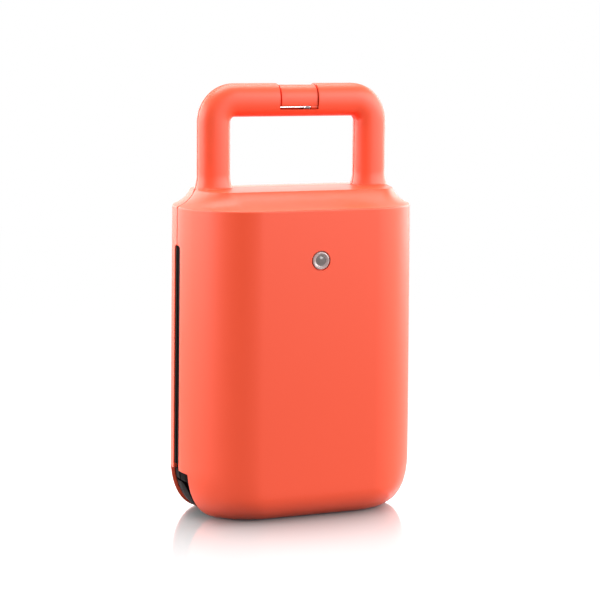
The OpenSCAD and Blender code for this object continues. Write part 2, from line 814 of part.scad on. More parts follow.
// ---- Reflectors ----
sheet_side = 3;
sheet_end = 2;
sheet_w = plate_w - 2 * sheet_side;
sheet_h = plate_h - 2 * sheet_end;
sheet_lip = 3;
terminal_clear = 1.4;
thermostat_clear = 1.6;
module half_reflector() {
    difference() {
        deep(sheet_y - sheet_lip, sheet_y + sheet_t) rounded(sheet_w, sheet_h, plate_r);
        deep(-big, sheet_y)
            rounded(sheet_w - 2 * sheet_t, sheet_h - 2 * sheet_t, plate_r - sheet_t);
        for (s = [-1, 1])
            pin_deep(s * element_open, element_z, 0, big, element_r + terminal_clear);
        for (p = SHEET_POSTS) pin_deep(p[0], p[1], 0, big, post_screw_r + screw_fit);
        pin_deep(0, plate_z, 0, big, thermostat_d / 2 + thermostat_clear);
    }
}
module base_reflector() { color(STEEL) half_reflector(); }
module lid_reflector() { color(STEEL) mirror([0, 1, 0]) half_reflector(); }

// ---- Screws ----
// Sizes of a screw: [shank radius, head radius, head height].
MAIN_SCREW = [screw_d / 2, screw_head_d / 2, 1.5];
SHEET_SCREW = [post_screw_r, 2.4, 1.2];
BLOCK_SCREW = [block_screw_r, 2.3, 1.3];
slot_w = 0.7;
slot_d = 0.7;

// A screw whose head's underside is at y, with its shank running towards +Y.
module screw(x, z, y, len, size = MAIN_SCREW) {
    difference() {
        union() {
            pin_deep(x, z, y - size[2], y, size[1]);
            pin_deep(x, z, y - eps, y + len, size[0]);
        }
        for (a = [0, 90]) translate([x, y - size[2], z]) rotate([0, a, 0])
            cube([size[1], 2 * slot_d, slot_w], center = true);
    }
}
// The same screw driven from behind, its shank running towards -Y.
module back_screw(x, z, y, len, size = MAIN_SCREW) {
    translate([0, 2 * y, 0]) mirror([0, 1, 0]) screw(x, z, y, len, size);
}
frame_screw_y = frame_y + head_sink;
plate_screw_l = tab_y1 - floor_y - drill_in - clip_fit;
sheet_screw_l = 5;
module half_frame_screws() {
    for (p = SCREWS) screw(p[0], p[1], frame_screw_y, frame_screw_l);
}
module half_plate_screws() {
    for (p = PLATE_BOSSES) back_screw(p[0], p[1], tab_y1, plate_screw_l);
}
module half_reflector_screws() {
    for (p = SHEET_POSTS) back_screw(p[0], p[1], sheet_y + sheet_t, sheet_screw_l, SHEET_SCREW);
}
module base_frame_screws() { color(STEEL) half_frame_screws(); }
module lid_frame_screws() { color(STEEL) mirror([0, 1, 0]) half_frame_screws(); }
module base_plate_screws() { color(STEEL) half_plate_screws(); }
module lid_plate_screws() { color(STEEL) mirror([0, 1, 0]) half_plate_screws(); }
module base_reflector_screws() { color(STEEL) half_reflector_screws(); }
module lid_reflector_screws() { color(STEEL) mirror([0, 1, 0]) half_reflector_screws(); }

// ---- Feet and plate on the base's back ----
module base_feet() {
    foot_y = shell_d + foot_proud - foot_edge;
    color(BLACK) for (p = FEET) {
        pin_deep(p[0], p[1], foot_seat, foot_y, foot_d / 2);
        translate([p[0], foot_y - eps, p[1]]) rotate([-90, 0, 0])
            cylinder(r1 = foot_d / 2, r2 = foot_d / 2 - foot_edge, h = foot_edge + eps);
    }
}
rating_w = 46;
rating_h = 28;
rating_r = 2;
rating_t = 0.4;
module rating_plate() {
    color(STEEL) deep(shell_d, shell_d + rating_t) rounded(rating_w, rating_h, rating_r);
}

// ---- Cord entry ----
module cord_gland() {
    lip_x = gland_out + gland_lip;
    color(BLACK) difference() {
        union() {
            pin_x(gland_in, gland_out, gland_d / 2, gland_y, gland_z);
            pin_x(gland_out, lip_x, gland_d / 2 + gland_lip_w, gland_y, gland_z);
        }
        pin_x(gland_in - eps, lip_x + eps, gland_bore_d / 2, gland_y, gland_z);
    }
}
module cord_clamp() {
    low = clamp_z[0] - clamp_end;
    color(CREAM) difference() {
        translate([clamp_x - clamp_w / 2, clamp_y - clamp_t, low])
            cube([clamp_w, clamp_t, clamp_z[1] + clamp_end - low]);
        for (z = clamp_z) pin_deep(clamp_x, z, 0, big, screw_d / 2 + screw_fit);
        pin_x(clamp_x - clamp_w, clamp_x + clamp_w, cord_grip_r, clamp_y, gland_z);
    }
}
module cord_clamp_screws() {
    len = clamp_t + clamp_bite - 1;
    color(STEEL) for (z = clamp_z) screw(clamp_x, z, clamp_y - clamp_t, len);
}

// ---- Terminal block, thermostat and fuse in the base ----
pole_dx = 9;
pole_screw_r = 2.2;
pole_screw_l = 2;
wire_bore_r = 1.6;
wire_in = 5;
wire_r = 1.1;
block_head_sink = 2;
POLES = [block_x - pole_dx, block_x + pole_dx];
block_front = block_seat - block_d;
wire_hole_y = block_front + wire_in;
module terminal_block() {
    color(CREAM) difference() {
        translate([block_x - block_w / 2, block_front, block_z - block_h / 2])
            cube([block_w, block_d, block_h]);
        for (x = POLES) {
            pin_deep(x, block_z, 0, wire_hole_y, pole_screw_r);
            translate([x, wire_hole_y, block_z - block_h]) cylinder(r = wire_bore_r, h = 2 * block_h);
        }
        pin_deep(block_x, block_z, 0, big, block_screw_r + screw_fit);
        pin_deep(block_x, block_z, 0, block_front + block_head_sink, BLOCK_SCREW[1] + screw_fit);
    }
}
module terminal_screws() {
    tip = wire_hole_y - wire_r;
    color(BRASS) for (x = POLES) pin_deep(x, block_z, tip - pole_screw_l, tip, pole_screw_r);
}
module terminal_block_screw() {
    len = block_d - block_head_sink + block_bite - 0.5;
    color(STEEL) screw(block_x, block_z, block_front + block_head_sink, len, BLOCK_SCREW);
}
strap_gap = 1;
strap_t = 1;
strap_w = 18;
strap_out = 17;
strap_y1 = sheet_y + sheet_t + strap_gap;
sensor_r = thermostat_d / 2 - 1.5;
thermostat_h = 3;
blade_t = 0.8;
blade_w = 5;
blade_dx = 4;
blade_reach = 14;
blade_low = plate_z - blade_reach;
blade_y = strap_y1 + thermostat_h;
module thermostat() {
    color(CREAM) {
        pin_deep(0, plate_z, plate_back, strap_y1, sensor_r);
        pin_deep(0, plate_z, strap_y1, blade_y, thermostat_d / 2);
        deep(blade_y - touch, blade_y + blade_t) for (s = [-1, 1])
            translate([s * blade_dx - blade_w / 2, blade_low]) square([blade_w, plate_z - blade_low]);
    }
}
fuse_x = 24;
fuse_r = 2;
fuse_l = 16;
fuse_ring_t = 0.8;
fuse_ring_h = 8;
fuse_y = strap_y1 + fuse_r;
module upright(x, y, z, r, h) { translate([x, y, z - h / 2]) cylinder(r = r, h = h); }
module thermostat_bracket() {
    strap_x1 = fuse_x + fuse_ring_h;
    color(STEEL) difference() {
        union() {
            deep(strap_y1 - strap_t, strap_y1) translate([-strap_out, plate_z - strap_w / 2])
                square([strap_x1 + strap_out, strap_w]);
            upright(fuse_x, fuse_y, plate_z, fuse_r + fuse_ring_t, fuse_ring_h);
        }
        pin_deep(0, plate_z, 0, big, sensor_r);
        upright(fuse_x, fuse_y, plate_z, fuse_r, 2 * fuse_l);
    }
}
module thermal_fuse() {
    color(CREAM) upright(fuse_x, fuse_y, plate_z, fuse_r, fuse_l);
}

// ---- Leads ----
lead_y = sheet_y + 7;
lead_out = 2;
lead_rise = 5;
lead_end_y = pin_end_y + lead_out;
lead_mid_y = blade_y + blade_t / 2;
block_top_z = block_z + block_h / 2;
lead_foot_z = block_z - pole_screw_r;
// Terminal block to thermostat.
LINE_LEAD = [
    [POLES[0], wire_hole_y, lead_foot_z],
    [POLES[0], wire_hole_y, block_top_z + 3],
    [POLES[0] - 2, lead_y, block_top_z + 15],
    [POLES[0] - 3, lead_y, element_z],
    [blade_dx, lead_mid_y, blade_low - lead_rise],
    [blade_dx, lead_mid_y, blade_low]
];
// Thermostat to element.
SWITCHED_LEAD = [
    [-element_open, pin_end_y, element_z],
    [-element_open, lead_end_y, element_z],
    [-element_open + 1, lead_end_y - 1, element_z + lead_rise],
    [-blade_dx, lead_mid_y, blade_low - lead_rise],
    [-blade_dx, lead_mid_y, blade_low]
];
// Element to fuse.
RETURN_LEAD = [
    [element_open, pin_end_y, element_z],
    [element_open, lead_end_y, element_z],
    [element_open + lead_rise, lead_end_y - 1, element_z + lead_rise],
    [fuse_x, fuse_y, plate_z - fuse_l / 2 - lead_rise],
    [fuse_x, fuse_y, plate_z - fuse_l / 2]
];
// Fuse to terminal block.
FUSE_LEAD = [
    [fuse_x, fuse_y, plate_z + fuse_l / 2],
    [fuse_x, fuse_y, plate_z + fuse_l / 2 + 4],
    [fuse_x + 6, lead_y, plate_z + fuse_l / 2 + 3],
    [fuse_x + 9, lead_y, plate_z],
    [fuse_x + 6, lead_y, element_z - 10],
    [POLES[1], lead_y, block_top_z + 10],
    [POLES[1], wire_hole_y, block_top_z + 3],
    [POLES[1], wire_hole_y, lead_foot_z]
];
module base_wires() {
    color(CREAM) for (lead = [LINE_LEAD, SWITCHED_LEAD, RETURN_LEAD, FUSE_LEAD]) tube(lead, wire_r);
}
bulb_lead_dx = 1.4;
module lid_wires() {
    color(CREAM) for (s = [-1, 1])
        mirror([0, 1, 0]) tube([
            [s * element_open, pin_end_y, element_z],
            [s * element_open, lead_end_y, element_z],
            [s * (element_open + 2), lead_y, element_z + 12],
            [s * (element_open + 3), lead_y, plate_z],
            [s * (element_open - 2), lead_y, lamp_z - 16],
            [s * bulb_lead_dx, bulb_back - 3, lamp_z - 8],
            [s * bulb_lead_dx, bulb_back - 3, lamp_z - 2],
            [s * bulb_lead_dx, bulb_back - 1.6, lamp_z],
            [s * bulb_lead_dx, bulb_back, lamp_z]
        ], wire_r);
}

// ---- Lamp ----
lens_t = 1.8;
lens_wall = 1.4;
lens_l = 10;
clip_ring_w = 2.6;
clip_ring_t = 1;
bulb_fit = 0.5;
lamp_back = shell_d - wall - lens_l;
bulb_back = lamp_back - 1;
module lamp_lens() {
    front = shell_d + lens_proud;
    color([1, 0.95, 0.9, 0.5]) difference() {
        union() {
            pin_deep(0, lamp_z, -front, -shell_d, lens_d / 2);
            pin_deep(0, lamp_z, -shell_d - eps, -lamp_back, lamp_r);
        }
        pin_deep(0, lamp_z, lens_t - front, eps - lamp_back, lamp_r - lens_wall);
    }
}
module lamp_clip() {
    back = shell_d - wall - touch;
    color(STEEL) difference() {
        pin_deep(0, lamp_z, -back, clip_ring_t - back, lamp_r + clip_ring_w);
        pin_deep(0, lamp_z, -big, big, lamp_r);
    }
}
module lamp_bulb() {
    front = shell_d + lens_proud - lens_t;
    color([1, 0.7, 0.5])
        pin_deep(0, lamp_z, bulb_fit - front, -bulb_back, lamp_r - lens_wall - bulb_fit);
}

// ---- Latch ----
module latch_pin_rod() {
    half = latch_slot / 2 + pin_grip;
    pin_x(latch_x - half, latch_x + half, pin_r, pin_y, pin_z);
}
module latch_pin() {
    color(STEEL) {
        latch_pin_rod();
        pin_x(collar_x1 - collar_w, collar_x1, pin_r + collar_rise, pin_y, pin_z);
    }
}
knuckle_w = 3.8;
spring_turns = 4;
spring_steps = 10;
spring_sides = 6;
spring_space = 0.4;
spring_x0 = clip_x1 - knuckle_w - spring_space;
spring_r = pin_r + 0.2 + spring_wire / 2;
spring_pitch = spring_wire + 0.12;
spring_x1 = spring_x0 - spring_pitch * spring_turns - spring_wire;
collar_w = 1.2;
collar_rise = 0.5;
collar_x1 = spring_x1 - spring_space / 2;
notch_x0 = collar_x1 - collar_w - spring_space;
module latch_clip() {
    color(CORAL) difference() {
        union() {
            across(clip_x0, clip_x1) difference() {
                bar_section(clip_sink);
                bar_section(clip_in);
                translate([-big, -big]) square([big, big + clip_front_z]);
                translate([-eps, -big]) square([big, big + clip_back_z]);
            }
            pin_x(clip_x1 - knuckle_w, clip_x1, knuckle_r, pin_y, pin_z);
        }
        pin_x(latch_x - big, latch_x + big, pin_r + run_fit, pin_y, pin_z);
        pin_x(notch_x0, spring_x0 + spring_space, spring_r + spring_wire, pin_y, pin_z);
    }
}
module latch_spring() {
    coil = [for (k = [0:spring_turns * spring_steps])
        let (q = 360 * k / spring_steps)
        [spring_x0 - spring_wire / 2 - spring_pitch * k / spring_steps,
         pin_y + spring_r * cos(q), pin_z + spring_r * sin(q)]];
    color(STEEL) tube(coil, spring_wire / 2, spring_sides);
}

base_shell();
base_frame();
base_plate();
base_element();
base_reflector();
base_plate_screws();
base_reflector_screws();
base_frame_screws();
base_feet();
rating_plate();
hinge_pins();
cord_gland();
cord_clamp();
cord_clamp_screws();
terminal_block();
terminal_screws();
terminal_block_screw();
thermostat();
thermostat_bracket();
thermal_fuse();
base_wires();
base_element_clips();
lid_shell();
lid_frame();
lid_plate();
lid_element();
lid_reflector();
lid_plate_screws();
lid_reflector_screws();
lid_frame_screws();
lid_wires();
lid_element_clips();
lamp_lens();
lamp_clip();
lamp_bulb();
latch_pin();
latch_spring();
latch_clip();
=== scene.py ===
"""Looks of an upright clamshell cooker: shells, latch, lamp, plates, fittings and stage."""

import math
from functools import partialmethod
from math import asin, cos, hypot, pi, radians, sin, sqrt

import bmesh
import bpy
from bpy.props import FloatProperty, FloatVectorProperty, IntProperty, PointerProperty
from mathutils import Matrix, Vector
from mathutils.geometry import delaunay_2d_cdt


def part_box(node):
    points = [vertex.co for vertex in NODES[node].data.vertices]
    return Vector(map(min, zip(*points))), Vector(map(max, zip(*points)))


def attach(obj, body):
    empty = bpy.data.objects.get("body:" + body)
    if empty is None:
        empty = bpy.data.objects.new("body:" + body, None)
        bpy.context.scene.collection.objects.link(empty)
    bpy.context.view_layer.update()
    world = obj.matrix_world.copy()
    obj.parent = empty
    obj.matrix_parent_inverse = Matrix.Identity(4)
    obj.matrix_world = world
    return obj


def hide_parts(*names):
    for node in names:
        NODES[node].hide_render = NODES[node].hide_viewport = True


bl_info = {
    "name": "Clamshell cooker",
    "version": (1, 0, 0),
    "blender": (4, 5, 0),
    "location": "3D View > Sidebar > Cooker",
    "description": "Builds the shells, latch, lamp, plates, fittings and stage of a cooker",
    "category": "Object",
}

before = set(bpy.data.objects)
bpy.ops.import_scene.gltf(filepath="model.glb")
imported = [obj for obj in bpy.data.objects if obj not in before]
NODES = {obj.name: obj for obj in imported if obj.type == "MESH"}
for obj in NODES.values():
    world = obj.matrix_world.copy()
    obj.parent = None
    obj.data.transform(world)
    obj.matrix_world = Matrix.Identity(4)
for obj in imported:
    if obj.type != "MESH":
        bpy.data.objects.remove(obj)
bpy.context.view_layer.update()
LID_LOW, LID_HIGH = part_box("lid_shell")
PIN_LOW, PIN_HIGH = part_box("latch_pin")
CLIP_LOW, CLIP_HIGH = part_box("latch_clip")
LENS_LOW, LENS_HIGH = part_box("lamp_lens")

MM = 0.001


# ---- Sizes and colours that a user would change ----
def named(key, text, default, maker=FloatProperty, **values):
    """A property whose name follows from its key."""
    return maker(
        name=key.replace("_", " ").capitalize(), description=text, default=default, **values
    )


def lengths(**rows):
    """Properties for lengths, each told by its description and its default in millimetres."""
    return {
        key: named(key, text, value * MM, subtype="DISTANCE", unit="LENGTH")
        for key, (text, value) in rows.items()
    }


def tints(**rows):
    """Properties for colours, each told by its description and its default."""
    return {
        key: named(key, text, value, FloatVectorProperty, subtype="COLOR", size=3, min=0.0, max=1.0)
        for key, (text, value) in rows.items()
    }


class CookerShellSizes(bpy.types.PropertyGroup):
    __annotations__ = lengths(
        half_width=("Half the width at the shoulder", LID_HIGH.x / MM - 1.3),
        lean=("How far each side leans out down to the foot", 1.3),
        shoulder=("Height of the shoulder edge", 175.6),
        depth=("Depth of one shell", -LID_LOW.y / MM),
        flat=("Half the width of the flat face", 34),
        corner=("Width of the lower corners", 17),
        corner_height=("Height of the lower corners", 29),
        foot_flat=("Half the width of the flat face at the foot", 24),
        foot_edge=("Radius between the flat face and the foot", 16),
        wall=("Wall of the shells", 2.2),
        parting=("Half the gap where the shells meet", 0.3),
        slot=("Half the width of the side slot", 4.2),
        slot_top=("Height of the side slot's upper end", 154),
        hinge_rim=("Half the width of the hinge opening", 14),
        hinge_top=("Height of the hinge opening", 26),
        neck_width=("Half the width of the neck's top", 59.4),
        neck_depth=("Depth of one shell at the neck", 24.5),
        neck_flat=("Half the width of the neck's straight front", 46.4),
        neck_rise=("Height of the neck's edge above the shoulder", 9.3),
        crown=("Rise of the neck's top towards the parting line", 0.8),
        edge=("Rounding of the shells' rims", 0.35),
    )


class CookerHandleSizes(bpy.types.PropertyGroup):
    __annotations__ = lengths(
        leg=("Distance of a leg's centre from the middle", 48),
        top=("Height of the handle's top", LID_HIGH.z / MM),
        bar=("Half the thickness of the bar", 9.4),
        depth=("Half the depth of the bar", 8),
        bend=("Radius of the bends at the bar's centre", 12),
        flare=("How far the legs widen at the neck", 1.4),
        flare_height=("Height over which the legs widen", 8),
        fillet=("Rounding between a leg and the neck", 0.9),
    ) | {"power": named("power", "Squareness of the bar's section", 2.3)}


class CookerLatchSizes(bpy.types.PropertyGroup):
    __annotations__ = lengths(
        slot_left=("Left end of the latch's slot", -10.7),
        slot_right=("Right end of the latch's slot", 13.1),
        sink=("How far the clip lies under the handle's surface", 0.9),
        thick=("Thickness of the clip", 2.2),
        knuckle=("Radius of the clip's knuckle", 1.1),
        knuckle_width=("Width of the clip's knuckle", 3.8),
        edge=("Rounding of the clip's edges", 0.3),
    )


class CookerColours(bpy.types.PropertyGroup):
    __annotations__ = tints(
        coral=("Moulded shells and latch", (0.86, 0.082, 0.030)),
        black=("Frames, feet and gland", (0.005, 0.003, 0.003)),
        coating=("Non-stick coating of the plates", (0.020, 0.019, 0.020)),
        steel=("Sheet metal, pins and screws", (0.62, 0.62, 0.63)),
    )


def settings():
    return bpy.context.scene.cooker


class CookerSettings(bpy.types.PropertyGroup):
    shell: PointerProperty(type=CookerShellSizes)
    handle: PointerProperty(type=CookerHandleSizes)
    latch: PointerProperty(type=CookerLatchSizes)
    colours: PointerProperty(type=CookerColours)
    around: IntProperty(name="Around", description="Steps round a shell's quarter bend", default=24)


# ---- Small helpers ----
def mix(a, b, t):
    return a + (b - a) * t


def rounded(value, power):
    return math.copysign(abs(value) ** power, value)


def circle_angles(count):
    return [2 * pi * k / count for k in range(count)]


def new_object(name, data):
    obj = bpy.data.objects.new(name, data)
    bpy.context.scene.collection.objects.link(obj)
    return obj


def from_bmesh(name, bm):
    mesh = bpy.data.meshes.new(name)
    bm.to_mesh(mesh)
    bm.free()
    return new_object(name, mesh)


def bake(obj):
    """Turns the object's modifiers into its mesh."""
    bpy.context.view_layer.update()
    graph = bpy.context.evaluated_depsgraph_get()
    mesh = bpy.data.meshes.new_from_object(obj.evaluated_get(graph))
    obj.modifiers.clear()
    obj.data = mesh


def modify(obj, kind, **values):
    """Adds a modifier and sets its properties."""
    mod = obj.modifiers.new(kind, kind)
    for key, value in values.items():
        setattr(mod, key, value)


def smooth(obj, angle):
    """Smooth shading whose normals follow the large faces and aren't bent by small roundings."""
    obj.data.shade_smooth()
    obj.data.set_sharp_from_angle(angle=radians(angle))
    modify(obj, "WEIGHTED_NORMAL", keep_sharp=True)
    bake(obj)


def bevel(obj, width, angle=50):
    modify(
        obj, "BEVEL", width=width, segments=2, limit_method="ANGLE", angle_limit=radians(angle),
        use_clamp_overlap=False,
    )


def cut(obj, tool, operation="DIFFERENCE"):
    modify(obj, "BOOLEAN", operation=operation, solver="MANIFOLD", object=tool)
    bake(obj)
    bpy.data.objects.remove(tool)


def dress(obj, material):
    obj.data.materials.clear()
    obj.data.materials.append(material)


def finish_piece(obj, body, look, replaced, angle=35):
    dress(obj, finish(look))
    smooth(obj, angle)
    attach(obj, body)
    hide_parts(replaced)


def rod(name, start, end, radius, sides=48):
    """A cylinder between two points."""
    bm = bmesh.new()
    axis = end - start
    turn = Vector((0, 0, 1)).rotation_difference(axis).to_matrix().to_4x4()
    bmesh.ops.create_cone(
        bm, cap_ends=True, segments=sides, radius1=radius, radius2=radius, depth=axis.length,
        matrix=Matrix.Translation((start + end) / 2) @ turn,
    )
    return from_bmesh(name, bm)


def rod_along(axis, place, start, end, radius, sides=48):
    """A cylinder through a place along an axis, between two coordinates on that axis."""
    first, last = place.copy(), place.copy()
    setattr(first, axis, start)
    setattr(last, axis, end)
    return rod("tool", first, last, radius, sides)


def block(low, high):
    bm = bmesh.new()
    low, high = Vector(low), Vector(high)
    size = Matrix.Diagonal((*(high - low), 1))
    bmesh.ops.create_cube(bm, size=1, matrix=Matrix.Translation((low + high) / 2) @ size)
    return from_bmesh("tool", bm)


def mirror(bm):
    """Mirrors a mesh across the parting face."""
    bmesh.ops.scale(bm, vec=(1, -1, 1), verts=bm.verts)
    bmesh.ops.reverse_faces(bm, faces=bm.faces)


# ---- Node trees ----
class Tree:
    """Adds nodes to a node tree and links them."""

    def __init__(self, tree):
        self.tree = tree

    def link(self, output, target):
        self.tree.links.new(output, target)

    def node(self, kind, *inputs, **values):
        """Adds a node; capitalised values are its inputs, the others are its properties."""
        node = self.tree.nodes.new(kind)
        given = dict(enumerate(inputs))
        for key, value in values.items():
            if key[0].isupper():
                given[key.replace("_", " ")] = value
            else:
                setattr(node, key, value)
        for key, value in given.items():
            if isinstance(value, bpy.types.NodeSocket):
                self.link(value, node.inputs[key])
            else:
                node.inputs[key].default_value = value
        return node

    def add(self, kind, *inputs, **values):
        """Adds a node and gives its first output."""
        return self.node(kind, *inputs, **values).outputs[0]

    def maths(self, operation, *values):
        return self.add("ShaderNodeMath", *values, operation=operation)

    plus = partialmethod(maths, "ADD")
    minus = partialmethod(maths, "SUBTRACT")
    times = partialmethod(maths, "MULTIPLY")
    over = partialmethod(maths, "DIVIDE")

    def vectors(self, operation, *values):
        return self.add("ShaderNodeVectorMath", *values, operation=operation)

    def vector(self, x, y, z):
        return self.add("ShaderNodeCombineXYZ", x, y, z)

    def noise(self, place, scale, detail):
        return self.add("ShaderNodeTexNoise", Vector=place, Scale=scale, Detail=detail)

    def moved(self, geometry, place, turn=(0, 0, 0), scale=(1, 1, 1)):
        return self.add(
            "GeometryNodeTransform", Geometry=geometry, Translation=place, Rotation=turn,
            Scale=scale,
        )

    def raised(self, geometry, rise):
        return self.moved(geometry, self.vector(0, 0, rise))

    def cylinder(self, sides, radius, depth):
        return self.add("GeometryNodeMeshCylinder", Vertices=sides, Radius=radius, Depth=depth)

    def circle(self, sides, radius):
        return self.add("GeometryNodeCurvePrimitiveCircle", Resolution=sides, Radius=radius)

    def filleted(self, curve, radius, count):
        return self.add(
            "GeometryNodeFilletCurve", Curve=curve, Radius=radius, Count=count, Limit_Radius=True,
            mode="POLY",
        )

    def swept(self, curve, profile, caps=False):
        return self.add(
            "GeometryNodeCurveToMesh", Curve=curve, Profile_Curve=profile, Fill_Caps=caps
        )

    def gathered(self, node, socket, pieces):
        """Links all the pieces to one socket of a node and gives the node's output."""
        for piece in pieces:
            self.link(piece, node.inputs[socket])
        return node.outputs[0]

    def joined(self, *pieces):
        return self.gathered(self.node("GeometryNodeJoinGeometry"), 0, pieces)

    def boolean(self, operation, tools, *first):
        node = self.node("GeometryNodeMeshBoolean", *first, operation=operation, solver="MANIFOLD")
        return self.gathered(node, 1, tools)

    def on_points(self, points, instance, **values):
        return self.add("GeometryNodeInstanceOnPoints", Points=points, Instance=instance, **values)

    def closed(self, out, *sources):
        """Links the sources to a group's outputs and gives the group."""
        for source, target in zip(sources, out):
            self.link(source, target)
        return self.tree


def socket_kind(value):
    if isinstance(value, tuple):
        return "Color" if len(value) == 4 else "Vector"
    return "Int" if isinstance(value, int) else "Float"


def new_group(kind, name, inputs, outputs):
    """A node group; an input is told by its default value, or by its kind where it has none."""
    made = bpy.data.node_groups.new(name, kind)
    for label, value in inputs.items():
        word = value if isinstance(value, str) else socket_kind(value)
        socket = made.interface.new_socket(label, in_out="INPUT", socket_type="NodeSocket" + word)
        if word != value:
            socket.default_value = value
    for label, word in outputs.items():
        made.interface.new_socket(label, in_out="OUTPUT", socket_type="NodeSocket" + word)
    tree = Tree(made)
    return tree, tree.node("NodeGroupInput").outputs, tree.node("NodeGroupOutput").inputs


GROUPS = {}


def group(maker):
    """The group that a function makes, made once."""
    if maker.__name__ not in GROUPS:
        GROUPS[maker.__name__] = maker()
    return GROUPS[maker.__name__]


# ---- Shader groups ----
def surface_group(name, inputs):
    """A shader group that gives the colour, the roughness and the height of a place."""
    outputs = {"Color": "Color", "Roughness": "Float", "Height": "Float"}
    return new_group("ShaderNodeTree", name, {"Vector": "Vector", **inputs}, outputs)


def closed_surface(tree, given, out, value, uneven, gain, height):
    shade = tree.add("ShaderNodeHueSaturation", Value=value, Color=given["Color"])
    rough = tree.maths("MULTIPLY_ADD", uneven, gain, given["Roughness"])
    return tree.closed(out, shade, rough, height)


def moulded_surface_group():
    """Fine eroded grain and slow tint drift of a moulded plastic."""
    tree, given, out = surface_group("Moulded surface", {
        "Color": (0.8, 0.1, 0.06, 1), "Drift": 0.04, "Grain Scale": 2200.0, "Roughness": 0.4,
        "Roughness Drift": 0.06,
    })
    slow = tree.noise(given["Vector"], 9.0, 3.0)
    grain = tree.noise(given["Vector"], given["Grain Scale"], 2.0)
    spread = tree.minus(slow, 0.5)
    value = tree.plus(tree.times(spread, given["Drift"]), 1.0)
    return closed_surface(tree, given, out, value, spread, given["Roughness Drift"], grain)


def metal_surface_group():
    """Drawn or ground metal: streaks along one axis and slow stains."""
    tree, given, out = surface_group("Metal surface", {
        "Color": (0.6, 0.6, 0.6, 1), "Streaks": (60.0, 1800.0, 1800.0), "Roughness": 0.3,
        "Stain": 0.15,
    })
    streak = tree.noise(tree.vectors("MULTIPLY", given["Vector"], given["Streaks"]), 1.0, 2.0)
    dull = tree.times(tree.noise(given["Vector"], 60.0, 4.0), given["Stain"])
    value, uneven = tree.minus(1.05, dull), tree.minus(streak, 0.5)
    return closed_surface(tree, given, out, value, uneven, 0.25, streak)


# ---- Materials ----
def blank_tree(owner):
    """The emptied node tree of a material or a world."""
    owner.use_nodes = True
    owner.node_tree.nodes.clear()
    return Tree(owner.node_tree)


def painted(name, tree_of_shader):
    """A material whose surface is the shader that a function adds to its tree."""
    material = bpy.data.materials.new(name)
    tree = blank_tree(material)
    tree.node("ShaderNodeOutputMaterial", Surface=tree_of_shader(tree))
    return material


def surfaced(name, maker, tint, bump, depth, shader_values, **values):
    """A material whose colour, roughness and bump come from a shader group."""

    def shader(tree):
        place = tree.node("ShaderNodeTexCoord").outputs["Object"]
        made = tree.node(
            "ShaderNodeGroup", node_tree=group(maker), Vector=place, Color=(*tint, 1), **values
        ).outputs
        lift = tree.add("ShaderNodeBump", Strength=bump, Distance=depth, Height=made["Height"])
        return tree.add(
            "ShaderNodeBsdfPrincipled", Base_Color=made["Color"], Roughness=made["Roughness"],
            Normal=lift, **shader_values,
        )

    return painted(name, shader)


# Moulded materials: tint or its setting, roughness, drift of the tint, scale of the grain, strength
# of the bump, its depth in millimetres and other values of the shader.
MOULDED = {
    "Coral moulding": ("coral", 0.42, 0.03, 2200.0, 0.05, 0.04, {"Specular_IOR_Level": 0.45}),
    "Black moulding": ("black", 0.5, 0.1, 1500.0, 0.25, 0.08, {"Specular_IOR_Level": 0.01}),
    "Soft rubber": (
        (0.018, 0.018, 0.019), 0.75, 0.2, 1800.0, 0.3, 0.1, {"Specular_IOR_Level": 0.3}
    ),
    "Non-stick coating": ("coating", 0.42, 0.25, 900.0, 0.2, 0.1, {"Specular_IOR_Level": 0.6}),
    "Glass-fibre sleeving": (
        (0.78, 0.76, 0.69), 0.7, 0.15, 1300.0, 0.6, 0.2, {"Specular_IOR_Level": 0.3}
    ),
    # Painted shade: the middle of the lamp's lens gets this darker colour for the unlit inside of
    # the lamp behind it.
    "Lens middle painted dark": (
        (0.13, 0.095, 0.09), 0.2, 0.3, 700.0, 0.02, 0.02,
        {"Coat_Weight": 1.0, "Coat_Roughness": 0.05},
    ),
    "Smoky lens": (
        (0.42, 0.30, 0.29), 0.12, 0.2, 700.0, 0.02, 0.02,
        {"Coat_Weight": 1.0, "Coat_Roughness": 0.04},
    ),
    "Cream insulator": ((0.76, 0.72, 0.60), 0.45, 0.08, 2200.0, 0.15, 0.06, {}),
    "White ceramic": ((0.80, 0.78, 0.72), 0.3, 0.05, 2200.0, 0.1, 0.04, {}),
    "Neon lamp": ((0.9, 0.42, 0.25), 0.15, 0.1, 2200.0, 0.02, 0.02, {}),
}

DRAWN = (60.0, 1800.0, 1800.0)

# Metals: tint or its setting, roughness and scale of the streaks along each axis.
METALS = {
    "Zinc plate": ((0.55, 0.56, 0.60), 0.32, DRAWN),
    "Spring wire": ((0.42, 0.42, 0.44), 0.3, DRAWN),
    "Bright sheet": ("steel", 0.28, (40.0, 1600.0, 1600.0)),
    "Ground steel": ((0.70, 0.70, 0.71), 0.18, DRAWN),
    "Annealed sheath": ((0.33, 0.31, 0.29), 0.45, DRAWN),
    "Brass": ((0.65, 0.43, 0.16), 0.25, DRAWN),
    "Satin aluminium": ((0.60, 0.60, 0.62), 0.38, (1500.0, 1500.0, 30.0)),
}

MADE = {}


def finish(name):
    """The material of a name in the tables, made once."""
    if name not in MADE:
        tint, rough, *rest = (METALS | MOULDED)[name]
        if isinstance(tint, str):
            tint = getattr(settings().colours, tint)
        if name in METALS:
            MADE[name] = surfaced(
                name, metal_surface_group, tint, 0.15, 0.03 * MM, {"Metallic": 1.0},
                Roughness=rough, Streaks=rest[0],
            )
        else:
            drift, grain, bump, depth, values = rest
            MADE[name] = surfaced(
                name, moulded_surface_group, tint, bump, depth * MM, values,
                Roughness=rough, Drift=drift, Grain_Scale=grain,
            )
    return MADE[name]


